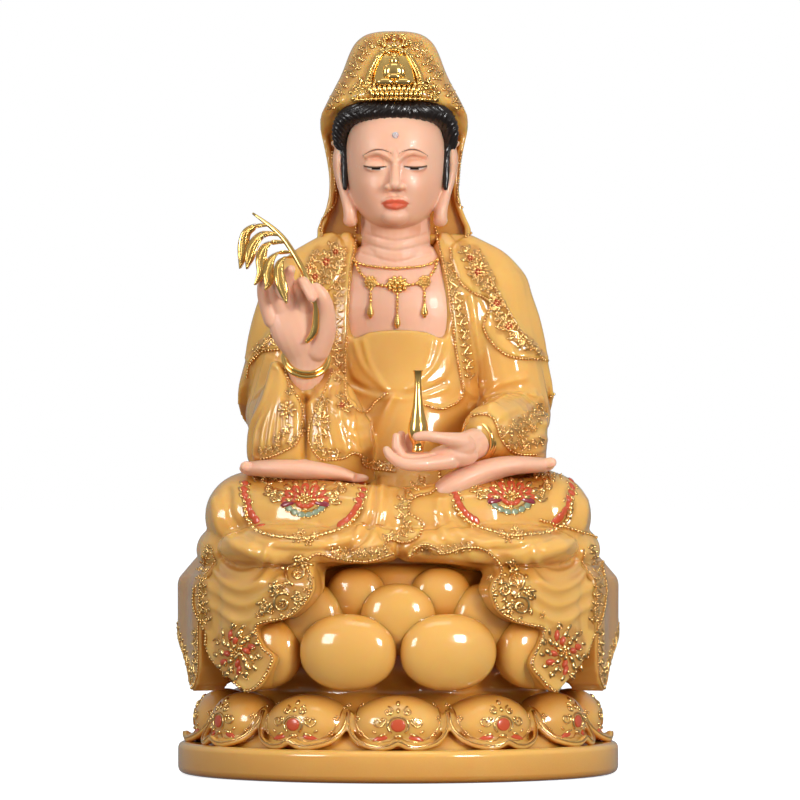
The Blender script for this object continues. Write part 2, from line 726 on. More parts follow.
LEFT_HEM = ((284.7, 369), (288, 383), (296, 396), (301, 406), (302, 415), (300.5, 427),
            (298.8, 435), (294.7, 444.5), (283, 451), (271.5, 456), (261.5, 458.6))
RIGHT_HEM = ((332.8, 370.7), (323.7, 391.4), (314.6, 410.5), (310.4, 423), (308.8, 435),
             (310.4, 445), (317.9, 457), (325.9, 460), (343.7, 458), (352.6, 453), (361.6, 455.7),
             (362.9, 464.6), (373, 469), (394.7, 472.3))
CUFF = ((281, 352), (334, 352), (329, 374), (318, 388), (306, 399), (296, 388), (287, 372))
MOUTH = ((471.8, 416), (482, 414), (492, 417), (497, 426), (502, 439), (510, 449), (520, 454),
         (535.6, 454.4))


def press_body(points, normals):
    points = layers(points, normals, (
        (OPENING, -7.5, 2.0, -60, 10), (BIB, 1.2, 2.5, -60, 0), (CUFF, -5.5, 4.0, -90, -30),
        (LEFT_LAPEL[:7] + ((318, 400), (316, 330), (330, 262), (346, 228)), 1.3, 1.2, -60, 10),
        (RIGHT_LAPEL[:7] + ((482, 396), (478, 330), (466, 262), (444, 230)), 1.3, 1.2, -60, 10),
        (CAPE_RIGHT + ((560, 350), (540, 290), (500, 240), (470, 236)), 1.6, 1.2, -70, 25),
        (CAPE_LEFT + ((236, 340), (256, 286), (300, 238), (330, 232)), 1.6, 1.2, -70, 25),
        (LEFT_HEM + ((240, 462), (232, 400), (262, 356)), 1.0, 1.4, -90, -8),
        (MOUTH + ((556, 440), (556, 400), (500, 396), (470, 404)), 1.2, 1.2, -90, -8),
    ))
    strokes = [(LEFT_LAPEL, 1.2, 0.9, -60, 10), (RIGHT_LAPEL, 1.2, 0.9, -60, 10)]
    for drop in (0, 13, 26):
        strokes.append((((331, 404 + drop), (346, 419 + drop), (362, 425 + drop),
                         (380, 414 + 0.6 * drop), (393, 399)), 2.6, 1.2, -60, 0))
    for side in (-1, 1):
        for spread in (34, 44):
            strokes.append((((398 + side * spread, 342), (398 + side * spread * 0.8, 366),
                             (397 + side * spread * 0.3, 389)), 1.6, 0.9, -60, 0))
    strokes.append((((352, 383), (374, 391), (397, 394), (422, 391), (444, 383)), 1.8, -0.9, -60, 0))
    strokes.append((((350, 388), (374, 396), (397, 399), (422, 396), (446, 388)), 1.6, 0.9, -60, 0))
    for k in range(6):
        foot = 248 + 7.0 * k
        low_end = 458 - 3.0 * k
        strokes.append((((274 + 2.2 * k, 366), (264 + 3.8 * k, 400), (foot + 2, 430),
                         (foot, low_end)), 1.6, 1.5, -90, -8))
        strokes.append((((277 + 2.2 * k, 372), (267.5 + 3.8 * k, 402), (foot + 5.5, 430),
                         (foot + 3.5, low_end)), 1.1, -0.9, -90, -8))
    strokes += [
        *(fold + (-90, -20) for fold in (
            (((304, 398), (305, 430), (305, 458)), 2.2, -4.8),
            (((322, 392), (318, 420), (322, 452)), 1.8, 1.6),
            (((330, 388), (328, 420), (334, 452)), 1.5, -1.2),
            (((338, 384), (338, 420), (346, 450)), 1.8, 1.6),
            (((352, 404), (352, 430), (358, 452)), 1.8, 1.4),
            (((366, 420), (366, 440), (372, 462)), 1.8, 1.4))),
        (CAPE_FOLD, 1.8, 1.4, -90, 30), (CAPE_LEFT_FOLD, 1.8, 1.4, -90, 30),
        (((466, 250), (476, 280), (494, 320), (520, 350)), 2.2, -1.0, -90, 30),
        *(fold + (-90, 10) for fold in (
            (((490, 407), (508, 397), (533, 394)), 2.2, 1.8),
            (((486, 396), (500, 384), (524, 378)), 2.0, 1.3),
            (((500, 424), (520, 412), (545, 410)), 2.2, -1.5),
            (((506, 434), (524, 424), (546, 424)), 2.0, 1.4),
            (((514, 446), (530, 438), (546, 440)), 2.0, 1.3))),
        (((466, 300), (474, 340), (480, 380)), 2.2, -1.2, -70, 10),
        (((330, 300), (322, 340), (320, 372)), 2.2, -1.2, -70, 10),
    ]
    points = ridges(points, normals, strokes)
    turn = np.degrees(np.arctan2(points[:, 0], -(points[:, 1] - 14)))
    back = np.clip((np.abs(turn) - 85.0) / 25.0, 0.0, 1.0)
    cloth = np.clip((292.0 - points[:, 2]) / 30.0, 0.0, 1.0)
    wave = np.sin(np.radians(np.abs(turn) * 9.0 + points[:, 2] * 0.7)) ** 3
    return points + normals * (1.9 * back * cloth * wave)[:, None]


heap = Heap()
heap.stack([(z, 0, 14, 74, front, back) for z, front, back in
            ((120, 30, 50), (150, 30, 44), (176, 28, 37), (200, 26, 35))])
heap.stack(((150, 0, 8, 50, 36, 40), (172, 0, 8, 46, 38, 38), (190, 0, 8, 45, 37, 38),
            (215, 0, 8, 47, 33, 38), (240, 0, 8, 50, 31, 37), (262, 0, 9, 50, 28, 34),
            (276, 0, 9, 40, 22, 28), (286, 0, 7, 27, 18, 22)))
heap.stack(((198, -1.6, 14, 85.6, 25, 40, 26), (206, -1.4, 14, 85.0, 27, 40, 24),
            (220, -1, 14, 82, 29, 39, 16), (233, -1, 14, 80, 30, 38, 9),
            (246, -1, 14, 77, 30, 38, 4), (258, -1, 14, 73, 30, 37), (267, 0, 14, 69.2, 27, 35),
            (275, 0, 13, 62.8, 24, 32), (281, 0, 12, 56, 21, 30), (286, -0.5, 11, 47, 18, 28),
            (290, -1, 10, 39, 15, 27)), power=2.5)
for side in (-1, 1):
    heap.limb([(side * 50, 10, 258), (side * 63, 2, 193)], [20, 19.5])
    heap.ball((side * 60, 2, 182), (20, 24, 18))
heap.limb([(-62, -4, 192), (-54, -30, 200), (-49, -42, 208)], [19, 17, 13.5])
heap.stack(((155, -43, -33, 33, 26, 30), (165, -46, -34, 33, 30, 30),
            (176, -46, -35, 34, 30, 30), (190, -47, -36, 31, 27, 28),
            (202, -48, -37, 26, 23, 26), (212, -48.5, -38, 20, 18, 22),
            (219, -49, -40, 15.5, 13, 16)), power=2.1)
heap.limb([(60, -4, 186), (56, -30, 184), (49, -48, 182)], [20, 18, 15.5])
heap.stack(((166, 59, -26, 20, 26, 26), (180, 59, -26, 20.5, 27, 26), (194, 61, -22, 19, 22, 24)),
           power=2.1)
body = melt(heap, "robe_cape_and_sleeves", 1.05, 3, [press_body])
print("cape and sleeves:", len(body.data.polygons))

# %% [markdown]
# The hood is the cape's upper part drawn over the head. It stands away from the hair, so its inner
# side shows between the rim and the ears.

# %% Hood
HOOD = -2.2
heap = Heap()
levels = smooth_line(((274, 46, 37, 100), (282, 44, 36, 100), (289, 41.5, 34, 98),
                      (293, 41.5, 33, 96), (300, 38.4, 32, 94), (308, 35.8, 31.5, 93),
                      (318, 35.0, 32, 92),
                      (328, 36.0, 33, 91), (338, 38.0, 34, 90), (347, 40.0, 34.5, 88),
                      (353, 40.0, 34.5, 84)), steps=3)
rings = []
for height, half, deep, reach in levels:
    ring = []
    for wall, order in ((0.0, 1), (3.4, -1)):
        for k in range(41):
            a = math.radians(reach) * (k / 20.0 - 1.0) * order
            ring.append((HOOD + (half - wall) * math.sin(a), 6 + (deep - wall) * math.cos(a),
                         height))
    rings.append(ring)
heap.rings(rings)
heap.stack([(z, HOOD, 10, half, 3, back) for z, half, back in
            ((276, 46, 36), (286, 42.5, 34.5), (300, 38, 33), (318, 34.6, 32.5), (336, 37.2, 33),
             (350, 38.6, 32.5), (362, 34.8, 30), (378, 27.5, 24), (390, 21, 17), (397, 12, 10))])
heap.stack([(z, HOOD, 15, half, 3.5, 20) for z, half in
            ((277, 41), (288, 40), (300, 36.5), (310, 34), (320, 33.4), (338, 36), (354, 38))],
           power=3.0)
heap.stack([(row[0], HOOD) + row[1:] for row in
            ((345, 6, 39.0, 14, 34, 9), (349.5, 5, 39.9, 27.6, 34, 11.5),
             (352.5, 4.6, 39.6, 30.0, 34, 11.5), (362, 4, 35.6, 29.2, 33, 4.5),
             (371, 4, 31.0, 26.2, 30, 1), (379, 4, 27.4, 23.2, 27),
             (388, 4, 24.0, 19.8, 23), (394, 4, 20.4, 15.8, 19), (398, 4, 14.8, 10.8, 12.8),
             (399.5, 4, 7.8, 5.8, 6.8))], power=2.1)


def press_hood(points, normals):
    spots = on_elevation(points)
    turn = np.degrees(np.arctan2(points[:, 0] - HOOD, -(points[:, 1] - 6)))
    back = np.clip((np.abs(turn) - 100.0) / 30.0, 0.0, 1.0)
    wave = np.sin(np.radians(np.abs(turn) * 8.0)) ** 3
    low = np.clip((372.0 - points[:, 2]) / 40.0, 0.0, 1.0)
    points = points + normals * (1.5 * back * wave * low)[:, None]
    return ridges(points, normals, (
        (((336, 84), (330, 100), (324, 112)), 3.0, 0.8, -60, 20),
        (((456, 84), (461, 100), (466, 112)), 3.0, 0.8, -60, 20),
        (((347, 92), (342, 104), (333, 116)), 1.8, -0.8, -60, 20),
        (((443, 92), (448, 104), (457, 116)), 1.8, -0.8, -60, 20),
    ))


hood = melt(heap, "hood", 1.0, 3, [press_hood])
print("hood:", len(hood.data.polygons))

# %% [markdown]
# ## Head
#
# The face follows the plain canon of devotional carving: eyes on the middle line of the head,
# equal thirds from hairline to brow, brow to nose and nose to chin, lowered lids and a closed,
# level mouth. The neck carries three soft rings and the ears are long.

# %% Face, ears, neck and chest
MID = -1.5              # the middle of the face
BRUSH_EDGE = 0.35       # how softly a brush stroke ends


def press_face(points, normals):
    points = ridges(points, normals, [
        (((366, 234), (396, 241), (427, 234)), 0.9, -0.6, -50, 0),
        (((364, 243), (396, 251), (429, 243)), 0.9, -0.6, -50, 0),
        (((362, 253), (396, 262), (431, 253)), 0.9, -0.5, -50, 0),
    ])
    x = (points[:, 0] - MID)
    z = points[:, 2]
    front = np.clip(-normals[:, 1] * 2.0, 0.0, 1.0) * (points[:, 1] < -12)
    ax = np.abs(x)
    lift = np.zeros(len(points))

    def dab(cx, cz, wx, wz, amount):
        return amount * np.exp(-((ax - cx) / wx) ** 2 - ((z - cz) / wz) ** 2)

    lid_low = 323.6 + 0.022 * (ax - 10.5) ** 2
    open_eye = np.clip(1.0 - np.abs(ax - 10.6) / 6.4, 0, 1) ** 0.5
    lift += -0.55 * np.exp(-((z - lid_low) / 0.55) ** 2) * open_eye
    lift += 0.35 * np.exp(-((z - lid_low - 1.2) / 0.8) ** 2) * open_eye
    fold = 329.2 - 0.030 * (ax - 10.0) ** 2
    lift += -0.5 * np.exp(-((z - fold) / 0.8) ** 2) * np.clip(1.0 - np.abs(ax - 10.4) / 7.5, 0, 1)
    lift += dab(4.4, 327.0, 2.2, 4.0, -0.9)
    lift += dab(10.5, 319.0, 6.0, 2.4, -0.35)
    seam = 304.9 + 0.25 * np.cos(x * 1.1) - 0.010 * ax ** 2
    mouth = np.clip(1.0 - ax / 7.0, 0, 1) ** 0.5
    lift += -0.75 * np.exp(-((z - seam) / 0.45) ** 2) * mouth
    lift += dab(0.0, 309.3, 1.0, 1.8, -0.5)
    lift += dab(7.2, 304.9, 1.2, 1.2, -0.6)
    lift += dab(0.0, 300.6, 4.0, 1.1, -0.8)
    lift += dab(12.5, 312.5, 7.0, 7.0, 0.7)
    lift += dab(4.6, 311.6, 0.9, 1.0, -0.4)
    lift += dab(1.9, 311.2, 0.8, 0.6, -0.5)
    return points + normals * (lift * front)[:, None]


heap = Heap()
heap.limb([(-1, 6, 236), (-1, 4, 262), (-1.2, 2, 282), (-1.4, 0, 302)], [19, 20.5, 19.0, 18.5],
          sides=32)
heap.stack([(z, MID, y, half, front, back) for z, y, half, front, back in
            ((292.6, -12, 5, 7.5, 6), (294.6, -10, 11.5, 13.5, 9), (298.5, -7, 16.8, 19.8, 15),
             (304, -4, 21.2, 25.0, 20), (310.5, -2, 24.2, 28.2, 25), (318, -1, 26.0, 29.6, 28),
             (326, 0, 26.9, 30.4, 30), (334, 0, 27.0, 30.2, 30), (342, 0, 26.2, 29.0, 30),
             (349, 0, 24.0, 26.4, 28), (355, 0, 19.0, 21.0, 23), (358.5, 0, 9.5, 10.5, 12))],
           sides=88, power=2.25)
for side in (-1, 1):
    heap.ball((MID + side * 10.4, -27.4, 325.6), (7.0, 4.3, 3.5), sides=28, rings=18)
    heap.limb([(MID + side * 2.8, -31.4, 328.5), (MID + side * 8.5, -31.0, 332.4),
               (MID + side * 16, -26.4, 330.4)], [1.5, 1.8, 1.2], sides=12)
    heap.ball((MID + side * 3.5, -33.4, 313.6), (2.4, 2.7, 2.0), sides=20, rings=12)
    ear = ((29.5, 1, 339), (30.6, -2, 331), (30, -3, 322), (27.0, -7, 311), (24.6, -10, 303),
           (24.2, -10, 297))
    heap.limb([(MID + side * x, y, z) for x, y, z in ear],
              [(5.5, 2.6), (7.6, 3.2), (6.4, 2.9), (3.8, 2.9), (4.2, 3.6), (4.0, 3.6)],
              across=(0, 1, 0.2))
heap.ball((MID, -24.0, 298.8), (7.5, 6.6, 5.6), sides=28, rings=18)
heap.limb([(MID, -30.4, 331), (MID, -32.6, 322), (MID, -34.6, 315.2)], [2.0, 2.3, 3.2], sides=14)
for side in (-1, 1):
    heap.limb([(MID + side * 0.8, -31.4, 307.0), (MID + side * 3.6, -30.6, 306.6),
               (MID + side * 6.8, -28.4, 305.4)], [1.7, 1.6, 0.8], sides=14)
heap.limb([(MID - 5.6, -28.6, 304.6), (MID, -30.9, 303.2), (MID + 5.6, -28.6, 304.6)],
          [0.9, 2.0, 0.9], sides=14)
heap.stack(((226, 0, 8, 40, 28, 10), (245, 0, 8, 42, 30.2, 10), (258, 0, 8, 40, 29, 10),
            (268, 0, 7, 34, 24.5, 10), (277, -0.6, 5, 27, 20, 10), (283, -1, 3, 21, 17, 10)))
face = melt(heap, "face_neck_and_chest", 0.62, 3, [press_face])
co, no = arrays(face.data)
x, z = co[:, 0] - MID, co[:, 2]
ax = np.abs(x)
front = (no[:, 1] < 0.25) & (co[:, 1] < -12)


def band(distance, half):
    """A brushed line: one within the half width, with a soft edge."""
    return np.clip((half - np.abs(distance)) / BRUSH_EDGE + 0.5, 0, 1)


brow_line = 333.8 - 0.045 * (ax - 9.0) ** 2
brow = band(z - brow_line, 0.45 * np.clip(1.2 - np.abs(ax - 9.5) / 8.5, 0, 1))
brow = brow * (np.abs(ax - 10) < 7.8)
lid = 323.6 + 0.022 * (ax - 10.5) ** 2
eye = band(z - lid + 0.15, 0.75 * np.sqrt(np.clip(1 - (np.abs(ax - 10.4) / 5.0) ** 2, 0, 1)))
iris = band(z - lid, 0.7) * (np.abs(ax - 10.2) < 2.4)
lash = band(z - lid - 0.55, 0.36) * (np.abs(ax - 10.8) < 6.2)
bow = 304.9 + 2.6 * np.clip(1 - (ax / 7.4) ** 2, 0, 1) ** 0.8 - 0.7 * np.exp(-(x / 1.1) ** 2)
bowl = 304.7 - 3.1 * np.sqrt(np.clip(1 - (ax / 6.6) ** 2, 0, 1))
lips = np.clip(np.minimum(bow - z, z - bowl) / 0.5 + 0.5, 0, 1) * (ax < 7.4) * (co[:, 1] < -27.0)
set_mask(face.data, "brow", brow * front)
set_mask(face.data, "white", eye * front * 0.9)
set_mask(face.data, "dark", np.maximum(iris, lash) * front)
set_mask(face.data, "lips", lips * front * 0.9)
warm = np.maximum(np.exp(-((z - 292.5) / 3.2) ** 2) * 0.55 * (co[:, 1] < 0),
                  np.exp(-((z - 329.5) / 2.4) ** 2 - ((ax - 8) / 8) ** 2) * 0.25)
warm = np.maximum(warm, np.exp(-((z - 311) / 2.2) ** 2 - ((ax - 4.5) / 2.4) ** 2) * 0.3)
warm = np.maximum(warm, np.exp(-((z - 313) / 9.0) ** 2 - ((ax - 15) / 8.0) ** 2) * 0.22)
set_mask(face.data, "warm", warm * front)
print("face:", len(face.data.polygons))

# %% [markdown]
# The hair is combed back over a roll. Its strands are shallow grooves that follow the roll round,
# and black gloss paint leaves a long highlight along it.

# %% Hair
HAIR_LINE = ((396, 110.6, -21.5), (372, 110.8, -20.0), (354, 113.5, -14.5), (344.5, 121, -9.5),
             (340.3, 132, -7.0), (340.0, 143, -6.0), (343.3, 152, -7.0), (344.6, 164, -8.5),
             (344.6, 176, -9.5), (344.9, 188, -10.5))
HAIR_GIRTH = (5.3, 5.4, 5.7, 5.5, 4.7, 3.5, 2.3, 2.0, 1.9, 1.2)
heap = Heap()
half = [(x - MID, y, z) for x, y, z in spatial(HAIR_LINE)]
path = [(MID + x, y, z) for x, y, z in half[::-1] + mirrored(half)[1:]]
heap.limb(path, HAIR_GIRTH[::-1] + HAIR_GIRTH[1:], sides=28)
heap.ball((MID, 8.5, 338), (31.0, 29.5, 24.0), sides=40, rings=26)


def comb(points, normals):
    """Strands run down and outwards from the parting."""
    side = points[:, 0] - MID - 6.0
    lean = (points[:, 2] - 354.0) * 0.55 * np.sign(side)
    phase = side + lean + 0.06 * side * np.abs(points[:, 2] - 354.0)
    phase = phase + 0.9 * np.sin(side * 0.33) + 0.5 * np.sin(points[:, 2] * 0.41 + side * 0.2)
    strand = (np.sin(phase * 1.45) * 0.55 + np.sin(phase * 3.7 + 1.0) * 0.4
              + np.sin(phase * 6.9 + 0.4) * 0.25)
    parting = np.exp(-((side - 0.35 * (points[:, 2] - 352.0)) / 0.5) ** 2) * 0.5
    top = np.clip((points[:, 2] - 322) / 10.0, 0.15, 1)
    return points + normals * ((0.42 * strand - parting) * top)[:, None]


finish_piece(melt(heap, "hair", 0.42, 3, [comb], after=0), HAIR, "hair_paint", "guanyin_on_lotus")

# %% [markdown]
# ## Hands and feet
#
# The right hand is raised with the willow between thumb and first finger. The left lies level
# under the vase. Both soles are turned up on the thighs and show as narrow strips of skin.

# %% Hands and feet
heap = Heap()
heap.limb([(-50, -32, 200), (-49.5, -46, 210), (-48.5, -50.5, 220), (-49, -55, 229)],
          [(9.5, 9.0), (9.8, 8.8), (10.0, 7.8), (11.5, 7.0)], across=(1, 0, 0))
heap.limb([(-49, -53, 225), (-51.5, -56, 232), (-54.5, -57, 240), (-57.5, -57, 247)],
          [(10.5, 7.0), (13.0, 7.4), (14.0, 6.6), (12.4, 5.2)], across=(1, 0, 0))
heap.limb([(-42.5, -57, 226), (-38.5, -62, 236), (-37.6, -67, 246), (-40, -71, 254),
           (-43, -72, 258.5)],
          [(6.6, 6.0), (5.8, 5.4), (4.4, 4.2), (3.9, 3.6), (2.8, 2.7)], across=(1, 0, 0))
for finger in (((-49, -58, 245), (-51.5, -63, 256), (-50, -70, 261.5), (-45.4, -74.5, 253)),
               ((-55.5, -58, 247), (-58.4, -63, 258), (-58.0, -69, 265), (-56.4, -72.5, 268)),
               ((-61.5, -57.5, 246), (-64.6, -62, 256), (-64.0, -68, 261), (-60.6, -71.5, 254.0)),
               ((-67.0, -57, 242), (-70.4, -59.5, 252), (-71.2, -63, 260), (-69.8, -66, 266))):
    heap.limb(finger, [4.3, 3.7, 3.3, 2.5], sides=16)
finish_piece(melt(heap, "right_hand", 0.6, 5), SKIN, "skin_paint", "guanyin_on_lotus")
heap = Heap()
heap.limb([(56, -34, 182.5), (45, -53, 178.5), (36, -64, 174.5)],
          [(8.8, 8.4), (8.2, 8.0), (8.6, 7.6)], across=(0, 0, 1))
heap.ball((29, -72, 170.0), (13.2, 10.5, 6.4), sides=28, rings=18)
heap.ball((33, -77, 175.5), (8.0, 6.0, 6.4), sides=28, rings=18)
for finger, girth in (
        (((34, -79, 177.5), (22, -86.5, 179.4), (15, -88.4, 180.4), (9.8, -88.2, 180.0)),
         (4.9, 3.1, 2.8, 2.3)),
        (((28, -78, 167.6), (12, -86, 165.4), (2.5, -87.5, 166.0), (-3.5, -87, 169.6),
          (-6.0, -86, 173.0)), (4.6, 3.7, 3.3, 2.8, 2.2)),
        (((24, -75, 168.0), (10, -79.5, 167.8), (2.6, -80, 168.8), (-0.6, -79.5, 174.5),
          (-0.8, -79, 180.0)), (4.4, 3.6, 3.3, 2.8, 2.2)),
        (((24, -70, 168.6), (10, -73, 168.4), (4.0, -73, 170.0), (1.2, -72.5, 176.0),
          (1.6, -72, 181.2)), (4.4, 3.6, 3.2, 2.8, 2.2)),
        (((24, -66, 168.8), (12, -67, 168.8), (7.0, -66.5, 171.0), (4.8, -65.5, 176.5),
          (5.6, -65.5, 180.0)), (4.2, 3.4, 3.0, 2.6, 2.1))):
    heap.limb(finger, girth, sides=16)
finish_piece(melt(heap, "left_hand", 0.6, 5), SKIN, "skin_paint", "guanyin_on_lotus")

heap = Heap()
heap.limb(spatial(((356, 478, -62), (336, 473, -60), (306, 469.5, -59), (274, 468.5, -56),
                   (254, 468.5, -52))),
          [(7, 2.4), (9, 4.0), (11, 5.6), (11, 5.0), (8, 4.0)], across=(0, 1, 0))
heap.limb(spatial(((438, 494, -70), (452, 486, -69), (478, 474, -64), (508, 466, -60),
                   (540, 465, -52))),
          [(7, 5.0), (10, 7.0), (11, 6.6), (11, 5.4), (8, 4.0)], across=(0, 1, 0))
for k in range(5):
    heap.ball(from_elevation(246.5 + 1.2 * k, 466.5, -58 + 4.6 * k), (3.6, 2.3, 2.9 - 0.2 * k))
    heap.ball(from_elevation(550.0 - 1.2 * k, 462.5, -57 + 4.6 * k), (3.6, 2.3, 2.9 - 0.2 * k))
finish_piece(melt(heap, "feet", 0.75, 2), SKIN, "skin_paint", "guanyin_on_lotus")

# %% [markdown]
# ## Gilded relief
#
# On the real casting every hem carries a raised string of tiny pearls, and beside it runs a vine
# of small curls, all gilded with a fine brush. Here each line is drawn once on the elevation and
# dropped onto the carved surface along the line of sight, so beads and wire follow every fold.
# Lines round the throne are dropped level towards its axis instead.

# %% Laying wire and pearls on the carving
class Ground:
    """Carved surfaces that ornament is laid on."""

    def __init__(self, *things):
        points, faces, start = [], [], 0
        for thing in things:
            co, _ = arrays(thing.data)
            points += co.tolist()
            faces += [[k + start for k in p.vertices] for p in thing.data.polygons]
            start += len(co)
        self.tree = BVHTree.FromPolygons(points, faces)

    def spot(self, u, v, around=False):
        """Where the line of sight, or a level line towards the axis, meets the carving."""
        if around:
            out = Vector((math.sin(u / 100.0), -math.cos(u / 100.0), 0.0))
            start, way = out * 260.0 + Vector((0.0, 0.0, v)), -out
        else:
            start = Vector((0.0, -FAR, EYE))
            way = (Vector(from_elevation(u, v, 0.0)) - start).normalized()
        return self.tree.ray_cast(start, way)[:2]

    def laid(self, line, pitch, around=False):
        """Runs of places and normals under a line; a run ends where the surface steps away."""
        runs, run = [], []
        for u, v in even(np.asarray(line, float), pitch / (1.0 if around else SQUARE)):
            place, normal = self.spot(u, v, around)
            if place is None or (run and (place - run[-1][0]).length > 3.0 + 3.0 * pitch):
                runs.append(run)
                run = []
            if place is not None:
                run.append((place, normal))
        return [r for r in runs + [run] if len(r) > 1]

    def pose(self, u, v, angle, around=False):
        """A frame on the surface: along the angle, across it and outwards."""
        place, normal = self.spot(u, v, around)
        step = 1.2
        ahead, _ = self.spot(u + step * math.cos(angle), v + step * math.sin(angle), around)
        if place is None or ahead is None:
            return None
        along = ahead - place
        along = (along - normal * along.dot(normal)).normalized()
        across = normal.cross(along)
        return Matrix((along, across, normal)).transposed().to_4x4(), place, normal


def pearls(heap, line, size, pitch, around=False):
    """A string of pearls."""
    for run in robe_ground.laid(smooth_line(line), pitch, around):
        for place, normal in run:
            heap.ball(place + normal * size * 0.45, (size,) * 3, sides=7, rings=5)


def wire(heap, line, size=0.42, pitch=0.7, around=False, rounded=True):
    """A raised gilded line."""
    line = smooth_line(line) if rounded else line
    for run in robe_ground.laid(line, pitch, around):
        heap.tube([place + normal * size * 0.3 for place, normal in run], size, sides=6)


def spiral(u, v, size, start, turns, hand):
    t = np.linspace(0, 1, 16)
    a = start + hand * math.tau * turns * t
    r = size * (1.0 - 0.8 * t)
    return np.column_stack((u + r * np.cos(a), v + r * np.sin(a)))


def blob(heap, u, v, angle, long, wide, high, around=False):
    """A leaf or petal: a flattened drop lying on the surface."""
    found = robe_ground.pose(u, v, angle, around)
    if found:
        turn, place, normal = found
        heap.ball(place, (long / 2, wide / 2, high), turn, sides=10, rings=7)


def vine(heap, line, half, size=0.42, around=False):
    """A waving stem with a curl in each bend, leaf pairs between them and buds at the edge."""
    unit = 1.0 if around else SQUARE
    fine = even(smooth_line(line), 0.6 / unit)
    run = np.concatenate(([0], np.cumsum(np.linalg.norm(np.diff(fine, axis=0), axis=1))))
    along = np.gradient(fine, axis=0)
    along /= np.linalg.norm(along, axis=1)[:, None]
    across = np.column_stack((-along[:, 1], along[:, 0]))
    bends = max(2, int(round(run[-1] / (1.45 * half))))
    wave = np.sin(run / run[-1] * math.pi * bends)
    wire(heap, fine + across * (wave * half * 0.5)[:, None], size, 0.8, around, False)
    for k in range(bends):
        at = int((k + 0.5) / bends * (len(fine) - 1))
        way = 1.0 if k % 2 == 0 else -1.0
        middle = fine[at] - across[at] * way * half * 0.12
        start = math.atan2(*(across[at] * way)[::-1])
        wire(heap, spiral(*middle, half * 0.62, start, 1.2, way), size * 0.9, 0.55, around, False)
        tip = fine[at] - across[at] * way * half * 0.82
        slope = math.atan2(*along[at][::-1])
        blob(heap, *tip, slope + 0.7 * way, half * 1.1 * unit, half * 0.5 * unit, 0.8, around)
        end = fine[at] + across[at] * way * half * 0.85
        blob(heap, *end, slope - 0.6 * way, half * 0.9 * unit, half * 0.44 * unit, 0.75, around)
        blob(heap, *middle, slope, half * 0.5 * unit, half * 0.42 * unit, 0.9, around)


def off(u, v, reach, angle):
    """A point at a reach and an angle from another, on the elevation."""
    return u + reach * math.cos(angle), v + reach * math.sin(angle)


def flower(heap, u, v, size, count=8, inner=None):
    """A rosette: outer petals, an inner ring that may be enamelled, and a pearl."""
    for k in range(count):
        a = math.tau * k / count
        blob(heap, *off(u, v, size * 0.74, a), a, size * 0.66 * SQUARE, size * 0.46 * SQUARE, 0.95)
    few = max(4, count - 3)
    for k in range(few):
        a = math.tau * (k + 0.5) / few
        blob(inner or heap, *off(u, v, size * 0.36, a), a, size * 0.5 * SQUARE,
             size * 0.38 * SQUARE, 1.3)
    place, normal = robe_ground.spot(u, v)
    if place is not None:
        heap.ball(place + normal * 0.5, (size * 0.16 * SQUARE + 0.3,) * 3, sides=8, rings=6)


robe_ground = Ground(body, hood, lap, upper, lower, *tails)
chest = Ground(face, body)
washes = []
print("ground for the gilding ready")

# %% [markdown]
# Cape, lapels and sleeves. The cape's two hems carry pearls and a broad vine with coral flowers on
# the shoulders; the lapels have pearls with a narrow vine outside them.

# %% Gilding of the upper robe
gilt, coral, wine, jade = Heap(), Heap(), Heap(), Heap()
HOOD_RIM_RIGHT = ((331.6, 152), (332.2, 164), (334.6, 184), (335.2, 198), (332.5, 206), (328, 212),
                  (322.5, 219), (320, 228), (322.5, 236))
HOOD_RIM_LEFT = ((461.2, 152), (459.6, 164), (457.6, 184), (457.6, 200), (460.4, 206), (465, 212),
                 (471, 220), (472.4, 230), (466, 237))
for line in (LEFT_LAPEL, RIGHT_LAPEL, HOOD_RIM_RIGHT, HOOD_RIM_LEFT, CAPE_RIGHT, CAPE_FOLD,
             CAPE_LEFT, CAPE_LEFT_FOLD, LEFT_HEM, RIGHT_HEM, MOUTH):
    pearls(gilt, line, 0.82, 1.6)
wire(gilt, ((372, 262), (366, 250), (361, 236)), 0.4)
VINES = (
    (((341, 262), (339, 290), (338, 320), (337, 350), (339, 384)), 5.2),
    (((340, 392), (342, 402), (350, 412)), 4.6),
    (((447, 262), (455, 292), (462, 320), (466, 350), (470, 380)), 5.2),
    (((336, 242), (329, 256), (322, 272), (313, 286)), 7.0),
    (((318, 250), (311, 266), (303, 280)), 5.0),
    (((285, 333), (273, 340), (262, 345), (254, 354)), 4.6),
    (((301, 285), (292, 305), (281, 324)), 4.6),
    (((462, 246), (470, 262), (477, 278)), 6.5),
    (((486, 283), (498, 306), (508, 328), (526, 346)), 7.5),
    (((528, 340), (536, 350), (541, 355)), 4.0),
    (((500, 432), (516, 430), (534, 422), (546, 410)), 5.5),
    (((508, 441), (524, 446), (544, 440)), 4.6),
    (((292, 384), (287, 396)), 3.6),
    (((290, 424), (284, 433), (274, 441)), 4.0),
    (((258, 451), (268, 450), (280, 447)), 4.0),
    (((327, 398), (319, 414), (316, 428)), 4.0),
    (((317, 434), (318, 446), (326, 452), (340, 453)), 4.2),
    (((364, 461), (374, 464), (394, 467)), 4.2),
    (((474, 250), (484, 268), (492, 284)), 5.5),
    (((470, 270), (480, 282), (492, 292), (498, 312), (500, 330)), 4.6),
    (((503, 316), (516, 334), (530, 350)), 4.6),
    (((344, 250), (335, 270), (324, 284)), 4.0),
    (((318, 288), (310, 300), (314, 320)), 3.6),
    (((512, 424), (526, 418), (542, 404)), 4.2),
    (((304, 428), (296, 438), (286, 444)), 3.4),
    (((318, 404), (326, 420), (324, 438)), 4.0),
)
for line, half in VINES:
    vine(gilt, line, half)
    washes.append((line, half * 1.05))
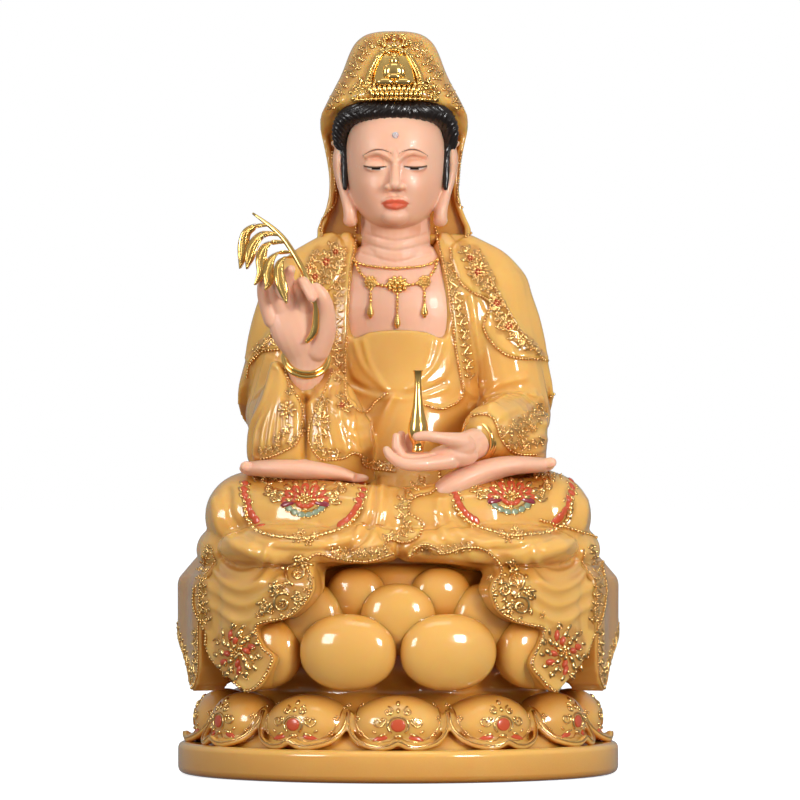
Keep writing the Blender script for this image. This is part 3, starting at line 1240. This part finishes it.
PLAIN, RED = None, coral
for u, v, size, inner in (
        (326.4, 262, 7.0, RED), (335.5, 252, 4.6, RED), (315, 277, 5.0, RED), (309, 268, 3.6, RED),
        (286.8, 410, 9.4, PLAIN), (470, 258, 5.2, RED), (478, 272, 6.0, RED), (497, 303, 6.2, RED),
        (509, 326, 6.5, RED), (341, 405, 4.8, RED), (276, 333, 5.0, PLAIN), (522, 436, 6.0, PLAIN),
        (532, 428, 5.0, PLAIN)):
    flower(gilt, u, v, size, 8, inner)
    washes.append((((u - 0.5, v), (u + 0.5, v)), size * 1.15))
print("upper robe gilded:", len(gilt.faces), "faces")

# %% [markdown]
# Hood. A broad vine climbs each side of the crown and is gilded more lightly than the hems.

# %% Gilding of the hood
for line, half in ((((372, 40), (362, 52), (354, 66), (347, 78)), 6.5),
                   (((345, 82), (339, 92), (332, 102), (327, 109)), 5.2),
                   (((414, 42), (424, 56), (433, 68), (441, 80)), 6.5),
                   (((445, 84), (451, 94), (458, 102), (463, 109)), 5.2),
                   (((364, 82), (352, 90)), 3.4), (((426, 82), (438, 90)), 3.4)):
    vine(gilt, line, half, 0.34)
    washes.append((line, half * 0.8))

# %% [markdown]
# Knees. Each knee carries a lotus bloom of gold with wine-red side petals over a scalloped
# blue-green pad, coral leaves at both sides and a swag of gold beads below.

# %% Gilding of the knees
def knee_bloom(way, u0, v0):
    """The bloom and its swag, drawn from its middle and turned over for the other knee."""
    def at(du, dv):
        return u0 + way * du, v0 + dv

    def line(points):
        return [at(*p) for p in points]

    for reach, count, long, wide, high, heap in (
            (1.0, 9, 6.6, 3.4, 0.9, gilt), (0.74, 7, 7.4, 4.8, 1.0, coral),
            (0.62, 7, 6.0, 1.8, 1.6, gilt), (0.42, 6, 5.0, 3.4, 1.6, coral),
            (0.3, 6, 4.0, 1.8, 2.0, gilt)):
        for k in range(count):
            a = math.pi * (1.02 + 0.96 * k / (count - 1.0))
            u, v = at(26.0 * reach * math.cos(a), 10.0 + 19.0 * reach * math.sin(a))
            blob(heap, u, v, a if way > 0 else math.pi - a, long, wide, high)
    flower(gilt, *at(0, 6.0), 7.0, 8)
    for side in (-1, 1):
        for u, v, size, start in ((30, 8, 6.5, 0.4), (37, -1, 6.0, 2.4), (24, -13, 5.0, 3.6),
                                  (42, -11, 4.6, 1.2)):
            wire(gilt, spiral(*at(side * u, v), size, start, 1.25, side * way), 0.62, 0.5,
                 rounded=False)
            flower(gilt, *at(side * u, v), 3.0, 5)
        for heap, u, v, slant, *size in ((wine, 15.5, 11.5, 0.35, 11.0, 4.4, 1.1),
                                         (gilt, 14, 10.0, 0.35, 6.4, 2.6, 1.8),
                                         (coral, 5.5, 14.0, -0.6, 6.0, 3.0, 1.4),
                                         (gilt, 31, 1.0, 0.9, 6.0, 3.2, 1.0),
                                         (gilt, 34, -8.0, 0.6, 5.0, 2.8, 1.0)):
            blob(heap, *at(side * u, v), side * slant * way, *size)
    blob(coral, *at(0, 15.5), 0.0, 5.0, 3.0, 1.4)
    blob(gilt, *at(0, 18.5), 0.0, 3.4, 2.2, 1.2)
    scallops = [(-23, 12), (-20, 17), (-14.5, 21), (-8, 24.5), (0, 26), (8, 24.5), (14.5, 21),
                (20, 17), (23, 12)]
    for (a, b), (c, d) in zip(scallops[:-1], scallops[1:]):
        mid = ((a + c) / 2 * 1.08, (b + d) / 2 + 1.6)
        wire(gilt, line(((a, b), mid, (c, d))), 0.36)
        blob(jade, *at((a + c) / 2 * 0.93, (b + d) / 2 - 1.4),
             math.atan2(d - b, way * (c - a)), 4.4, 3.4, 0.42)
    wire(gilt, line(((-17, 11), (-11, 17), (0, 20.5), (11, 17), (17, 11))), 0.36)
    for points in (((-60, -8), (-61, 2), (-57, 10)), ((56, -8), (58, 0), (54, 10))):
        for u, v in even(smooth_line(line(points)), 6.0):
            blob(coral, u, v, 0.9, 5.6, 3.6, 0.7)
            blob(gilt, u - way * 4.0, v, 1.0, 4.2, 1.8, 0.9)
            blob(gilt, u + way * 4.0, v + 2.0, 2.0, 3.4, 1.6, 0.9)
    for points in (((-57, 17), (-51, 27), (-44, 34)), ((52, 17), (46, 26), (36, 33))):
        for u, v in even(smooth_line(line(points)), 6.5):
            blob(coral, u, v, 1.0 * way if points[0][0] < 0 else -1.0 * way, 6.4, 4.6, 0.7)
    swag = ((-60, 16), (-58, 28), (-50, 38), (-36, 44), (-20, 46), (0, 47), (18, 43), (34, 38),
            (46, 31), (56, 18))
    for k, (u, v) in enumerate(even(smooth_line(line(swag)), 4.4)):
        blob(gilt, u, v, 0.7 * (1 if k % 2 else -1), 3.8, 2.6, 1.3)
    for du, dv, size in ((-9, 47, 5.5), (3, 50, 5.5), (-4, 42, 4.5), (10, 45, 4.5)):
        flower(gilt, *at(du, dv), size, 6)
    for points, half in ((((-52, -14), (-40, -14), (-28, -12)), 4.6),
                         (((28, -12), (40, -11), (52, -8)), 4.6)):
        vine(gilt, line(points), half)
    washes.extend(((line(swag), 5.0), (line(((-26, 0), (0, -3), (26, 0))), 14.0)))


knee_bloom(1, 305, 491)
knee_bloom(-1, 511, 488)
print("knees gilded:", len(gilt.faces), "faces")

# %% [markdown]
# The falling robe. Its hem is edged with pearls all the way round. Beside the hem sit a panel of
# bold scrolls, a dense flower at the lower corner and a vine towards the side.

# %% Gilding of the falling robe
for line in (TAIL_EDGE, LEFT_CURTAIN[:25], RIGHT_CURTAIN[:26]):
    pearls(gilt, line, 0.95, 1.75)
vine(gilt, ((425, 478), (414, 486), (403, 498), (401, 514), (408, 528)), 6.0)
vine(gilt, ((412, 527), (402, 535), (390, 534), (384, 540)), 4.6)
for line, half in ((((330, 550), (350, 552), (372, 552), (388, 549)), 4.6),
                   (((414, 551), (424, 547), (434, 549)), 3.6),
                   (((440, 550), (455, 549), (472, 546)), 4.6)):
    vine(gilt, line, half)
    washes.append((line, half * 1.2))
for way, u0 in ((1, 0.0), (-1, 800.0)):
    def side_line(points):
        return [(u0 + way * u, v) for u, v in points]

    bold = (((297, 573, 13.0, 1.9, 1), (282.5, 603, 10.5, -0.9, -1), (275.5, 588, 4.4, 0.8, 1),
             (264, 607, 5.5, 2.4, -1), (299, 598, 5.2, -1.4, -1), (301, 562, 4.2, 0.6, 1)) if way > 0
            else ((515, 581, 10.0, 1.2, -1), (503, 590, 8.0, 4.0, 1), (520, 606, 10.5, -2.2, 1),
                  (509.5, 607, 5.0, 0.6, -1), (529, 594, 4.6, 1.8, 1), (512, 566, 4.2, 2.6, -1)))
    for u, v, size, start, hand in bold:
        wire(gilt, spiral(u, v, size, start, 1.35, hand), 0.85, 0.5, rounded=False)
        flower(gilt, u, v, 4.2, 5)
        for k in range(5):
            a = start + hand * (0.5 + 1.1 * k)
            blob(gilt, *off(u, v, size * 1.18, a), a + 0.9 * hand, 4.4, 2.0, 1.1)
    for u, v in side_line(((284, 585), (310, 578), (306, 590), (290, 613), (271, 611), (258, 615))):
        flower(gilt, u, v, 3.4, 5)
    cu, cv = side_line(((237, 652),))[0]
    for ring, count, long, wide, high in ((21, 13, 5.2, 2.6, 1.0), (15, 11, 6.2, 3.6, 1.4),
                                          (9.5, 8, 5.4, 3.4, 1.9), (4.5, 6, 4.0, 2.6, 2.3)):
        for k in range(count):
            a = math.tau * (k + 0.3 * ring) / count
            u, v = cu + ring * math.cos(a) * 1.02, cv + ring * math.sin(a) * 1.22
            heap = coral if (ring == 15 and k % 3 == 0) or (ring == 9.5 and k % 2) else gilt
            blob(heap, u, v, a + 0.5, long, wide, high)
            if ring == 15:
                blob(gilt, u + 2, v + 2, a - 0.7, 3.4, 1.6, 1.6)
            if ring == 21 and k % 2:
                wire(gilt, spiral(u, v, 4.2, a, 1.1, 1), 0.45, 0.5, rounded=False)
    flower(gilt, cu, cv, 4.0, 6)
    edge = side_line(((202, 566), (201, 580), (201, 596), (204, 610), (207, 624)))
    vine(gilt, edge, 6.0)
    vine(gilt, side_line(((209, 545), (206, 556), (203, 566))), 4.0)
    washes.extend(((side_line(((296, 566), (290, 585), (280, 605))), 13.0),
                   (side_line(((237, 648), (237, 656))), 23.0), (edge, 6.5)))
print("falling robe gilded:", len(gilt.faces), "faces")

# %% [markdown]
# Side tails. Their hems carry pearls and a vine round to the back, which is left plain.

# %% Gilding of the tails
for way in (-1, 1):
    hem = [(way * math.radians(a) * 100.0, z) for a, z in SIDE_TAIL]
    middle = np.array(hem).mean(axis=0)
    inset = [middle + (np.array(p) - middle) * 0.955 for p in hem]
    pearls(gilt, inset[:14], 0.7, 1.5, around=True)
    vine(gilt, [middle + (np.array(p) - middle) * 0.84 for p in hem[2:12]], 3.6,
         around=True)

# %% [markdown]
# Lower petals. Every petal has a gilded double lip, pearl trefoils along its edge, and a coral
# medallion with scrolls and two side buds in the middle.

# %% Gilding of the lower petals
for k in range(LOWER):
    base = math.tau * k / LOWER * 100.0
    if base > math.pi * 100.0:
        base -= math.tau * 100.0
    edge = [(base + a * 100.0 / r, z) for a, r, z in LIP]
    wire(gilt, [(u, z + 0.9) for u, z in edge], 0.5, 0.8, True)
    inner_edge = [(base + (u - base) * 0.86, z + 3.0) for u, z in edge]
    wire(gilt, inner_edge, 0.32, 0.8, True)
    for side in (-1, 1):
        for du, z in ((20.5, 33.0), (18.5, 25.5), (22.0, 39.0)):
            for a in range(4):
                blob(gilt, *off(base + side * du, z, 0.9, a * 1.57), 0, 1.5, 1.5, 0.7, True)
        blob(coral, base + side * 8.6, 22.8, side * -0.3, 8.6, 3.4, 0.8, True)
        blob(gilt, base + side * 7.6, 24.8, side * -0.35, 5.4, 1.8, 1.2, True)
        wire(gilt, spiral(base + side * 9.4, 31.5, 3.2, 1.6 + side * 1.2, 1.2, side),
             0.5, 0.5, True, False)
        wire(gilt, spiral(base + side * 4.8, 37.0, 2.5, 1.6, 1.2, side), 0.46, 0.5,
             True, False)
        blob(gilt, base + side * 11.5, 26.4, side * 0.7, 2.8, 1.4, 0.8, True)
    blob(coral, base, 29.8, 0, 8.2, 7.0, 0.6, True)
    ring = [(base + 5.0 * math.cos(a), 29.6 + 4.6 * math.sin(a))
            for a in np.linspace(-0.9, math.pi + 0.9, 18)]
    wire(gilt, ring, 0.6, 0.5, True)
    for a in range(5):
        angle = math.pi * (0.1 + 0.2 * a)
        blob(gilt, base + 7.0 * math.cos(angle), 30.8 + 6.6 * math.sin(angle), angle,
             3.4, 2.0, 1.0, True)
    blob(gilt, base, 41.0, 1.57, 3.8, 2.2, 0.9, True)
    blob(gilt, base, 24.2, 0, 5.0, 2.4, 1.3, True)
print("petals gilded:", len(gilt.faces), "faces")

# %% [markdown]
# The gilding becomes one raised piece and each enamel another. The resin below it gets an amber
# wash, a thin lacquer that collects between the curls.

# %% Finishing the resin and its relief
WASH = 0.55             # how strong the amber wash is
TAIL_WASH = 0.9         # the share of it that lies all over the side tails
for thing in (body, hood, lap, upper, lower, *tails):
    co, no = arrays(thing.data)
    spots = on_elevation(co)
    amber = np.zeros(len(co))
    for line, half in washes:
        line = smooth_line(line) if len(line) > 2 else np.asarray(line, float)
        close = near_box(spots, line, half * 1.3) & (no[:, 1] < -0.25)
        if close.any():
            gap = line_gap(spots[close], line) / SQUARE
            amber[close] = np.maximum(amber[close], np.clip((half - gap) / 2.5 + 0.5, 0, 1))
    set_mask(thing.data, "amber_wash", np.maximum(amber, TAIL_WASH if thing in tails else 0.0) * WASH)
    finish_piece(thing, RESIN, "honey_resin", "guanyin_on_lotus")
finish_piece(face, SKIN, "skin_paint", "guanyin_on_lotus")
for heap, name, finish, slot in ((gilt, "gilded_relief", GILT, "gilt_paint"),
                                 (coral, "coral_enamel", CORAL, "red_enamel"),
                                 (wine, "wine_enamel", WINE, "red_enamel"),
                                 (jade, "blue_green_enamel", JADE, "green_enamel")):
    finish_piece(raw_object(heap, name), finish, slot, "guanyin_on_lotus")

# %% [markdown]
# ## Crown
#
# The crown is a pierced plaque cast in zinc and gold-plated. It follows the hood's curve, so every
# wire and leaf is placed on one function that gives the hood's depth.

# %% Crown
def crown_seat(x, z, stand=1.0):
    """A point standing off the hood where the crown lies."""
    up = (z - 358.0) / 42.0
    half = 36.5 - 16.0 * up - 6.0 * max(up, 0.0) ** 3
    deep = 30.5 - 13.5 * up - 5.0 * max(up, 0.0) ** 3
    return (x, 4.0 - deep * math.sqrt(max(0.05, 1.0 - ((x + 1.3) / half) ** 2)) - stand - 0.4, z)


def on_crown(u, v, stand=1.0):
    """A point of the crown seen at a column and row."""
    depth = -25.0
    for _ in range(4):
        x, _, z = from_elevation(u, v, depth)
        depth = crown_seat(x, z, stand)[1]
    return crown_seat(x, z, stand)


def crown_wire(points, size, stand=1.0, rounded=True, pitch=1.0):
    line = even(smooth_line(points) if rounded else np.asarray(points, float), pitch)
    heap.tube([on_crown(u, v, stand) for u, v in line], size, sides=8, ends=True)


def crown_leaf(u, v, angle, long, wide, high, stand=1.2):
    turn = Matrix.Rotation(-angle, 4, "Y")
    heap.ball(on_crown(u, v, stand), (long / 2, high, wide / 2), turn, sides=12, rings=8)


heap = Heap()
plate = []
for row in np.linspace(47.5, 87.0, 16):
    half = 0.6 + 21.0 * math.sqrt(max(0.0, 1.0 - ((87.0 - row) / 39.6) ** 2))
    steps = np.linspace(-half, half, 17)
    plate.append([on_crown(394 + a, row, 1.1) for a in steps]
                 + [on_crown(394 + a, row, 0.2) for a in steps[::-1]])
heap.rings(plate)
for grow, size, stand in ((0.0, 1.15, 1.9), (-4.0, 0.7, 1.7)):
    arch = ((366 - grow, 86), (367.5 - grow * 0.9, 76), (373 - grow * 0.8, 63),
            (380.5 - grow * 0.5, 53), (393.5, 47.5 - grow * 0.5), (407 + grow * 0.5, 53),
            (415 + grow * 0.8, 63), (421 + grow * 0.9, 76), (422.5 + grow, 86))
    crown_wire(arch, size, stand)
    if grow:
        for u, v in even(smooth_line([(a - 1.8 * (1 if a < 394 else -1), b) for a, b in arch]), 3.2):
            heap.ball(on_crown(u, v, 2.3), (0.8,) * 3, sides=10, rings=7)
# the small seated figure: head, shoulders, folded arms and legs
for u, v, size, stand in ((394, 61.0, (2.6, 2.3, 3.0), 3.2), (394, 55.0, (1.7, 1.6, 1.6), 3.0),
                          (394, 71, (5.0, 2.4, 4.8), 2.6), (386.5, 72, (2.0, 1.8, 4.2), 3.0),
                          (401.5, 72, (2.0, 1.8, 4.2), 3.0), (394, 76, (4.0, 1.8, 1.8), 4.0),
                          (385, 81.5, (5.2, 2.3, 2.3), 3.2), (403, 81.5, (5.2, 2.3, 2.3), 3.2)):
    heap.ball(on_crown(u, v, stand), size, sides=20, rings=14)
for k in range(-5, 6):
    crown_leaf(394 + 4.8 * k, 88.5 + 0.06 * k * k, 1.57 - 0.05 * k, 5.0, 2.4, 1.1, 2.6)
    crown_leaf(394 + 4.8 * k + 2.4, 93.8, 1.57 - 0.05 * k, 4.2, 2.2, 1.0, 2.2)
for k in range(-8, 9):
    u = 395.5 + 4.9 * k
    heap.ball(on_crown(u, 98.6 + 0.012 * k * k, 1.8), (1.05,) * 3, sides=10, rings=7)
crown_wire(((353, 100.3), (374, 98.6), (395, 98), (416, 98.6), (438, 100.3)), 0.6, 1.2)
for way in (-1, 1):
    c = 394.5
    for u, v, size, start, hand, thick in (
            (31.5, 85.5, 6.0, 2.6, 1, 0.7), (24.5, 91, 4.6, 0.4, -1, 0.6),
            (37.5, 94.5, 4.6, 3.4, 1, 0.6), (42.0, 98.5, 2.8, 2.4, 1, 0.55),
            (15.0, 42.5, 3.4, 2.4, 1, 0.55), (9.0, 37.0, 3.6, 3.0, 1, 0.6),
            (12.5, 50.5, 2.8, 2.0, 1, 0.5)):
        line = spiral(0, 0, size, start, 1.3, hand)
        crown_wire([(c + way * (u + a), v + b) for a, b in line], thick, 1.8, False, 0.8)
        heap.ball(on_crown(c + way * u, v, 2.2), (0.9,) * 3, sides=8, rings=6)
    for u, v, angle, long in ((28, 80, 1.9, 5.0), (34, 79.5, 1.2, 4.6), (38, 87, 0.7, 4.4),
                              (43, 93, 0.5, 4.2), (20, 84, 1.7, 4.0), (11, 44.5, 0.9, 3.6),
                              (5.5, 46, 1.3, 3.6), (6.5, 52, 0.9, 4.0), (17, 57, 1.0, 3.4)):
        crown_leaf(c + way * u, v, angle if way > 0 else math.pi - angle, long, 2.0, 1.0, 2.0)
for v, size in ((45.5, (1.9, 1.7, 2.2)), (39.5, (1.3, 1.3, 1.6)), (35.3, (0.9, 1.0, 1.3))):
    heap.ball(on_crown(394, v, 2.2), size, sides=14, rings=10)
crown_wire(((387, 47), (384.5, 41), (387.5, 35.5), (394, 33.6), (400.5, 35.5), (403.5, 41), (401, 47)),
           0.6, 1.4)
finish_piece(raw_object(heap, "crown_plaque"), GOLD, "gilt_metal", "crown")

# %% [markdown]
# ## Necklace and forehead stone
#
# Two strands are cast as one chain. The upper one is round beads, every third one larger; the
# lower one has three rosettes with three pendants. Both are dropped onto the chest along the line
# of sight.

# %% Necklace and forehead crystal
heap = Heap()


def strand(line, pitch, big, small):
    for run in chest.laid(smooth_line(line), pitch):
        for k, (place, normal) in enumerate(run):
            size = big if k % 3 == 0 else small
            heap.ball(place + normal * (big + 0.3), (size,) * 3, sides=12, rings=8)
        heap.tube([place + normal * (big + 0.1) for place, normal in run], 0.25, sides=6)


strand(((355, 260), (361, 264.5), (376, 267.5), (397, 268.5), (418, 267.5), (431, 264), (436, 260)),
       2.0, 1.05, 0.85)
strand(((356, 262), (358, 268), (363, 276), (371, 282)), 2.05, 1.05, 0.95)
strand(((436, 261), (434, 269), (430, 276), (424, 281.5)), 2.05, 1.05, 0.95)
strand(((371, 283), (384, 286.5), (397, 286), (411, 285.5), (424, 282.5)), 2.05, 1.05, 0.95)
for u, v, wide, tall, fall in ((371, 283, 6.2, 6.4, 36), (397.2, 285, 10.8, 8.2, 44),
                               (424, 282.5, 6.2, 6.4, 36)):
    for share, count, bead in ((0.82, 10, 0.19), (0.45, 6, 0.17)):
        for k in range(count):
            a = math.tau * k / count
            place, normal = chest.spot(u + wide * share * math.cos(a),
                                       v + tall * share * math.sin(a))
            size = bead * wide * 0.40 + 0.42
            heap.ball(place + normal * (1.2 if share > 0.5 else 2.0), (size,) * 3, sides=12, rings=8)
    place, normal = chest.spot(u, v)
    heap.ball(place + normal * 0.7, (wide * 0.44, 0.7, tall * 0.42), sides=18, rings=10)
    heap.ball(place + normal * 2.4, (wide * 0.14,) * 3, sides=14, rings=10)
    for drop in np.arange(tall + 1.0, fall - 13, 3.5):
        place, normal = chest.spot(u, v + drop)
        heap.ball(place + normal * 1.0, (0.9,) * 3, sides=12, rings=8)
    for share, size in ((0.0, 0.8), (0.2, 1.1), (0.4, 1.5), (0.6, 1.9), (0.8, 1.9), (1.0, 1.1)):
        place, normal = chest.spot(u, v + fall - 13 + 10 * share)
        heap.ball(place + normal * 1.4, (size, size * 0.85, 1.4), sides=14, rings=10)
finish_piece(raw_object(heap, "necklace_chain"), GOLD, "gilt_metal", "necklace")

heap = Heap()
u, v = on_elevation(np.array([[-1.5, -29.0, 341.5]]))[0]
place, normal = chest.spot(u, v)
out = Vector((0, -1, 0))
middle = Vector((-1.5, place.y - 0.2, 341.5))
rings = [[middle + out * rise + Vector((1.8 * share * math.cos(math.tau * (k + turn) / 12), 0,
                                        1.8 * share * math.sin(math.tau * (k + turn) / 12)))
          for k in range(12)] for share, rise, turn in ((0.7, -0.3, 0), (1.0, 0.35, 0.5),
                                                        (0.58, 1.0, 0))]
heap.rings(rings)
stone = raw_object(heap, "forehead_stone")
finish_piece(stone, CRYSTAL, "cut_crystal", "forehead_crystal", smooth=False)

# %% [markdown]
# ## Bracelets, willow and vase
#
# The bracelets are bent from round wire, each as a pair of rings. The willow is one cast
# sprig with five drooping leaves, each scored with slanting veins. The vase is turned and hollow.

# %% Bracelets
def ring(middle, along, radius, thick, shift):
    """One round ring across a wrist."""
    along = Vector(along).normalized()
    side = along.orthogonal().normalized()
    other = along.cross(side)
    middle = Vector(middle) + along * shift
    heap.tube([middle + (side * math.cos(math.tau * k / 72) + other * math.sin(math.tau * k / 72))
               * radius for k in range(72)], thick, sides=14, closed=True)


heap = Heap()
ring((-48.6, -50.8, 223.6), (0.05, -0.84, 0.54), 11.3, 1.15, 0.0)
ring((-48.6, -50.0, 222.0), (0.05, -0.84, 0.54), 12.1, 1.2, 0.0)
finish_piece(raw_object(heap, "bracelet_pair_right"), GOLD, "gilt_metal", "bracelet_right")
heap = Heap()
for shift in (-1.1, 1.1):
    ring((42.5, -56.0, 178.2), (0.62, 0.77, 0.12), 10.0, 1.15, shift)
finish_piece(raw_object(heap, "bracelet_pair_left"), GOLD, "gilt_metal", "bracelet_left")

# %% Willow sprig
STEM = ((307, 341, -65), (313.5, 333, -66), (316, 318, -67), (315.7, 302, -68), (310.4, 287, -69),
        (301.4, 267.5, -68), (292, 251, -65.5), (282.5, 237.5, -63), (270, 226, -60),
        (253, 213.5, -56))
LEAVES = (
    ((268, 225, -60), (257, 226, -59), (247, 232, -59), (243.5, 243, -59), (242.5, 255, -60),
     (239.6, 268, -60)),
    ((280, 235, -63), (268, 233.5, -62), (259, 237, -62), (252.5, 246, -63), (249.5, 257, -64),
     (246.5, 268.5, -64)),
    ((284, 242, -64), (272, 242.5, -64), (264, 248, -65), (261, 258, -67), (261.5, 272, -68),
     (254.5, 284.5, -68)),
    ((290, 252, -66), (278, 253, -67), (270.5, 260, -70), (268, 271, -73), (268.5, 281, -74),
     (264.8, 289, -74)),
    ((294, 257, -66), (284, 258, -71), (279, 265, -76), (279.5, 277, -79), (283, 290, -80),
     (286.3, 303, -80)),
)
heap = Heap()
heap.limb(spatial(STEM), [1.3, 2.0, 1.9, 1.8, 1.7, 1.6, 1.5, 1.4, 1.2, 0.6], sides=16)
for spine in LEAVES:
    line = smooth_line([list(p) + [w] for p, w in
                        zip(spatial(spine), (0.8, 1.5, 2.4, 3.0, 2.7, 0.5))], steps=8)
    heap.tube(line[:, :3].tolist(), [(w, 0.35 + 0.14 * w) for w in line[:, 3]], 14,
              across=(1.0, 0.0, 0.4), ends=True)
    for k in range(6, len(line) - 2):
        p, w = Vector(line[k, :3]), line[k, 3]
        run = (Vector(line[k + 1, :3]) - p).normalized()
        side = Vector((1.0, 0.0, 0.4))
        side = (side - run * side.dot(run)).normalized()
        up = side.cross(run)
        up = -up if up.y > 0 else up
        lift = up * (0.35 + 0.14 * w) * 0.8
        heap.tube([p - side * w * 0.96 - run * 1.1 + lift * 0.35, p + lift * 1.15,
                   p + side * w * 0.96 + run * 1.1 + lift * 0.35], [0.2, 0.42, 0.2], sides=6)
finish_piece(raw_object(heap, "willow_sprig"), GOLD, "gilt_metal", "willow_branch")

# %% Vase
OUTSIDE = ((0.0, 2.9), (0.5, 3.25), (2.0, 3.2), (3.2, 2.9), (4.6, 3.2), (7.0, 4.5), (9.5, 5.15),
           (11.5, 5.3), (14.5, 5.0), (19.0, 3.9), (25.0, 2.7), (31.0, 2.05), (36.0, 1.8),
           (39.5, 1.85), (41.5, 2.15), (42.6, 2.65), (43.0, 2.75))
WALL = 0.5              # of the gilded metal
FLOOR = 2.4             # the hollow starts above this
low = min(z for _, _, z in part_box("vase")) * 1000.0
centre = [sum(v[k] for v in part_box("vase")) * 500.0 for k in (0, 1)]
outer = smooth_line(OUTSIDE, steps=4)
inner = [(z, r - WALL) for z, r in outer[::-1] if z > FLOOR]
heap = Heap()
heap.rings([[(centre[0] + r * math.cos(a), centre[1] + r * math.sin(a), low + z)
             for a in np.linspace(0, math.tau, 56, endpoint=False)]
            for z, r in [tuple(p) for p in outer] + inner])
finish_piece(raw_object(heap, "vase_hollow"), GOLD, "gilt_metal", "vase")

# %% [markdown]
# ## Studio
#
# A pale floor and a white surround, two large softboxes from the left and right front, a strip
# above and a weak box low on the right, as in a catalogue picture. Gloss resin shows the boxes as
# soft rectangles. The surround is seen as pure white but lights the statue only a little, so the
# softboxes model its form.

# %% Floor, light and camera
GLOW_LOW, GLOW_HIGH = 0.16, 0.50      # the surround below and above
SENSOR = 36.0
FRAME_WIDTH = 0.4312    # what the camera sees across at the statue, in metres
SIDE = 30.0             # half the floor
FLOOR_GAP = 0.0004      # the floor lies this far under the plinth
scene = bpy.context.scene
floor_mesh = bpy.data.meshes.new("floor")
floor_mesh.from_pydata([(-SIDE, -SIDE, 0), (SIDE, -SIDE, 0), (SIDE, SIDE, 0), (-SIDE, SIDE, 0)],
                       [], [(0, 1, 2, 3)])
floor = bpy.data.objects.new("floor", floor_mesh)
scene.collection.objects.link(floor)
floor.location.z = -FLOOR_GAP
acrylic = material("white_acrylic_floor", "#F4F4F4", 0.6)
lamp = acrylic.node_tree.nodes["Principled BSDF"].inputs
lamp["Emission Color"].default_value = (1, 1, 1, 1)
lamp["Emission Strength"].default_value = 0.8
floor_mesh.materials.append(acrylic)
floor.visible_diffuse = floor.visible_glossy = floor.visible_transmission = False
world = bpy.data.worlds.new("studio")
scene.world = world
world.use_nodes = True
wall = world.node_tree.nodes["Background"]
wall.inputs[0].default_value = (1, 1, 1, 1)
wall.inputs[1].default_value = 1.0
place = node(world, "ShaderNodeTexCoord")
up = node(world, "ShaderNodeSeparateXYZ", (("Vector", place.outputs["Generated"]),))
level = node(world, "ShaderNodeMapRange", (("Value", up.outputs["Z"]),), From_Min=-0.5, From_Max=0.6,
             To_Min=GLOW_LOW, To_Max=GLOW_HIGH)
glow = node(world, "ShaderNodeBackground", (("Strength", level.outputs[0]),))
which = node(world, "ShaderNodeLightPath")
blend = node(world, "ShaderNodeMixShader", ((0, which.outputs["Is Camera Ray"]),
                                            (1, glow.outputs[0]), (2, wall.outputs[0])))
world.node_tree.links.new(blend.outputs[0], world.node_tree.nodes["World Output"].inputs[0])


def softbox(name, place, aim, wide, tall, power):
    light = bpy.data.lights.new(name, "AREA")
    light.shape = "RECTANGLE"
    light.size, light.size_y, light.energy = wide, tall, power
    thing = bpy.data.objects.new(name, light)
    thing.location = place
    thing.rotation_euler = (Vector(aim) - Vector(place)).to_track_quat("-Z", "Y").to_euler()
    scene.collection.objects.link(thing)
    return thing


boxes = [softbox("left_box", (-1.5, -1.4, 0.75), (0, 0, 0.2), 0.6, 0.8, 15.5),
         softbox("right_box", (1.25, -1.7, 0.75), (0, 0, 0.2), 0.45, 0.6, 30),
         softbox("top_strip", (0.0, -0.5, 1.7), (0, 0, 0.2), 1.0, 0.6, 3),
         softbox("low_fill", (0.6, -1.7, 0.12), (0, 0, 0.08), 0.4, 0.3, 4)]
boxes[-1].visible_glossy = False      # it lifts the shadows and leaves no highlight
camera = bpy.data.objects.new("camera", bpy.data.cameras.new("camera"))
scene.collection.objects.link(camera)
camera.location = (0.0, -FAR / 1000.0, EYE / 1000.0)
aim = Vector((0.001, 0.0, 0.2005))
camera.rotation_euler = (aim - camera.location).to_track_quat("-Z", "Y").to_euler()
camera.data.sensor_width = SENSOR
camera.data.lens = SENSOR * FAR / 1000.0 / FRAME_WIDTH
scene.camera = camera
scene.view_settings.view_transform = "Standard"
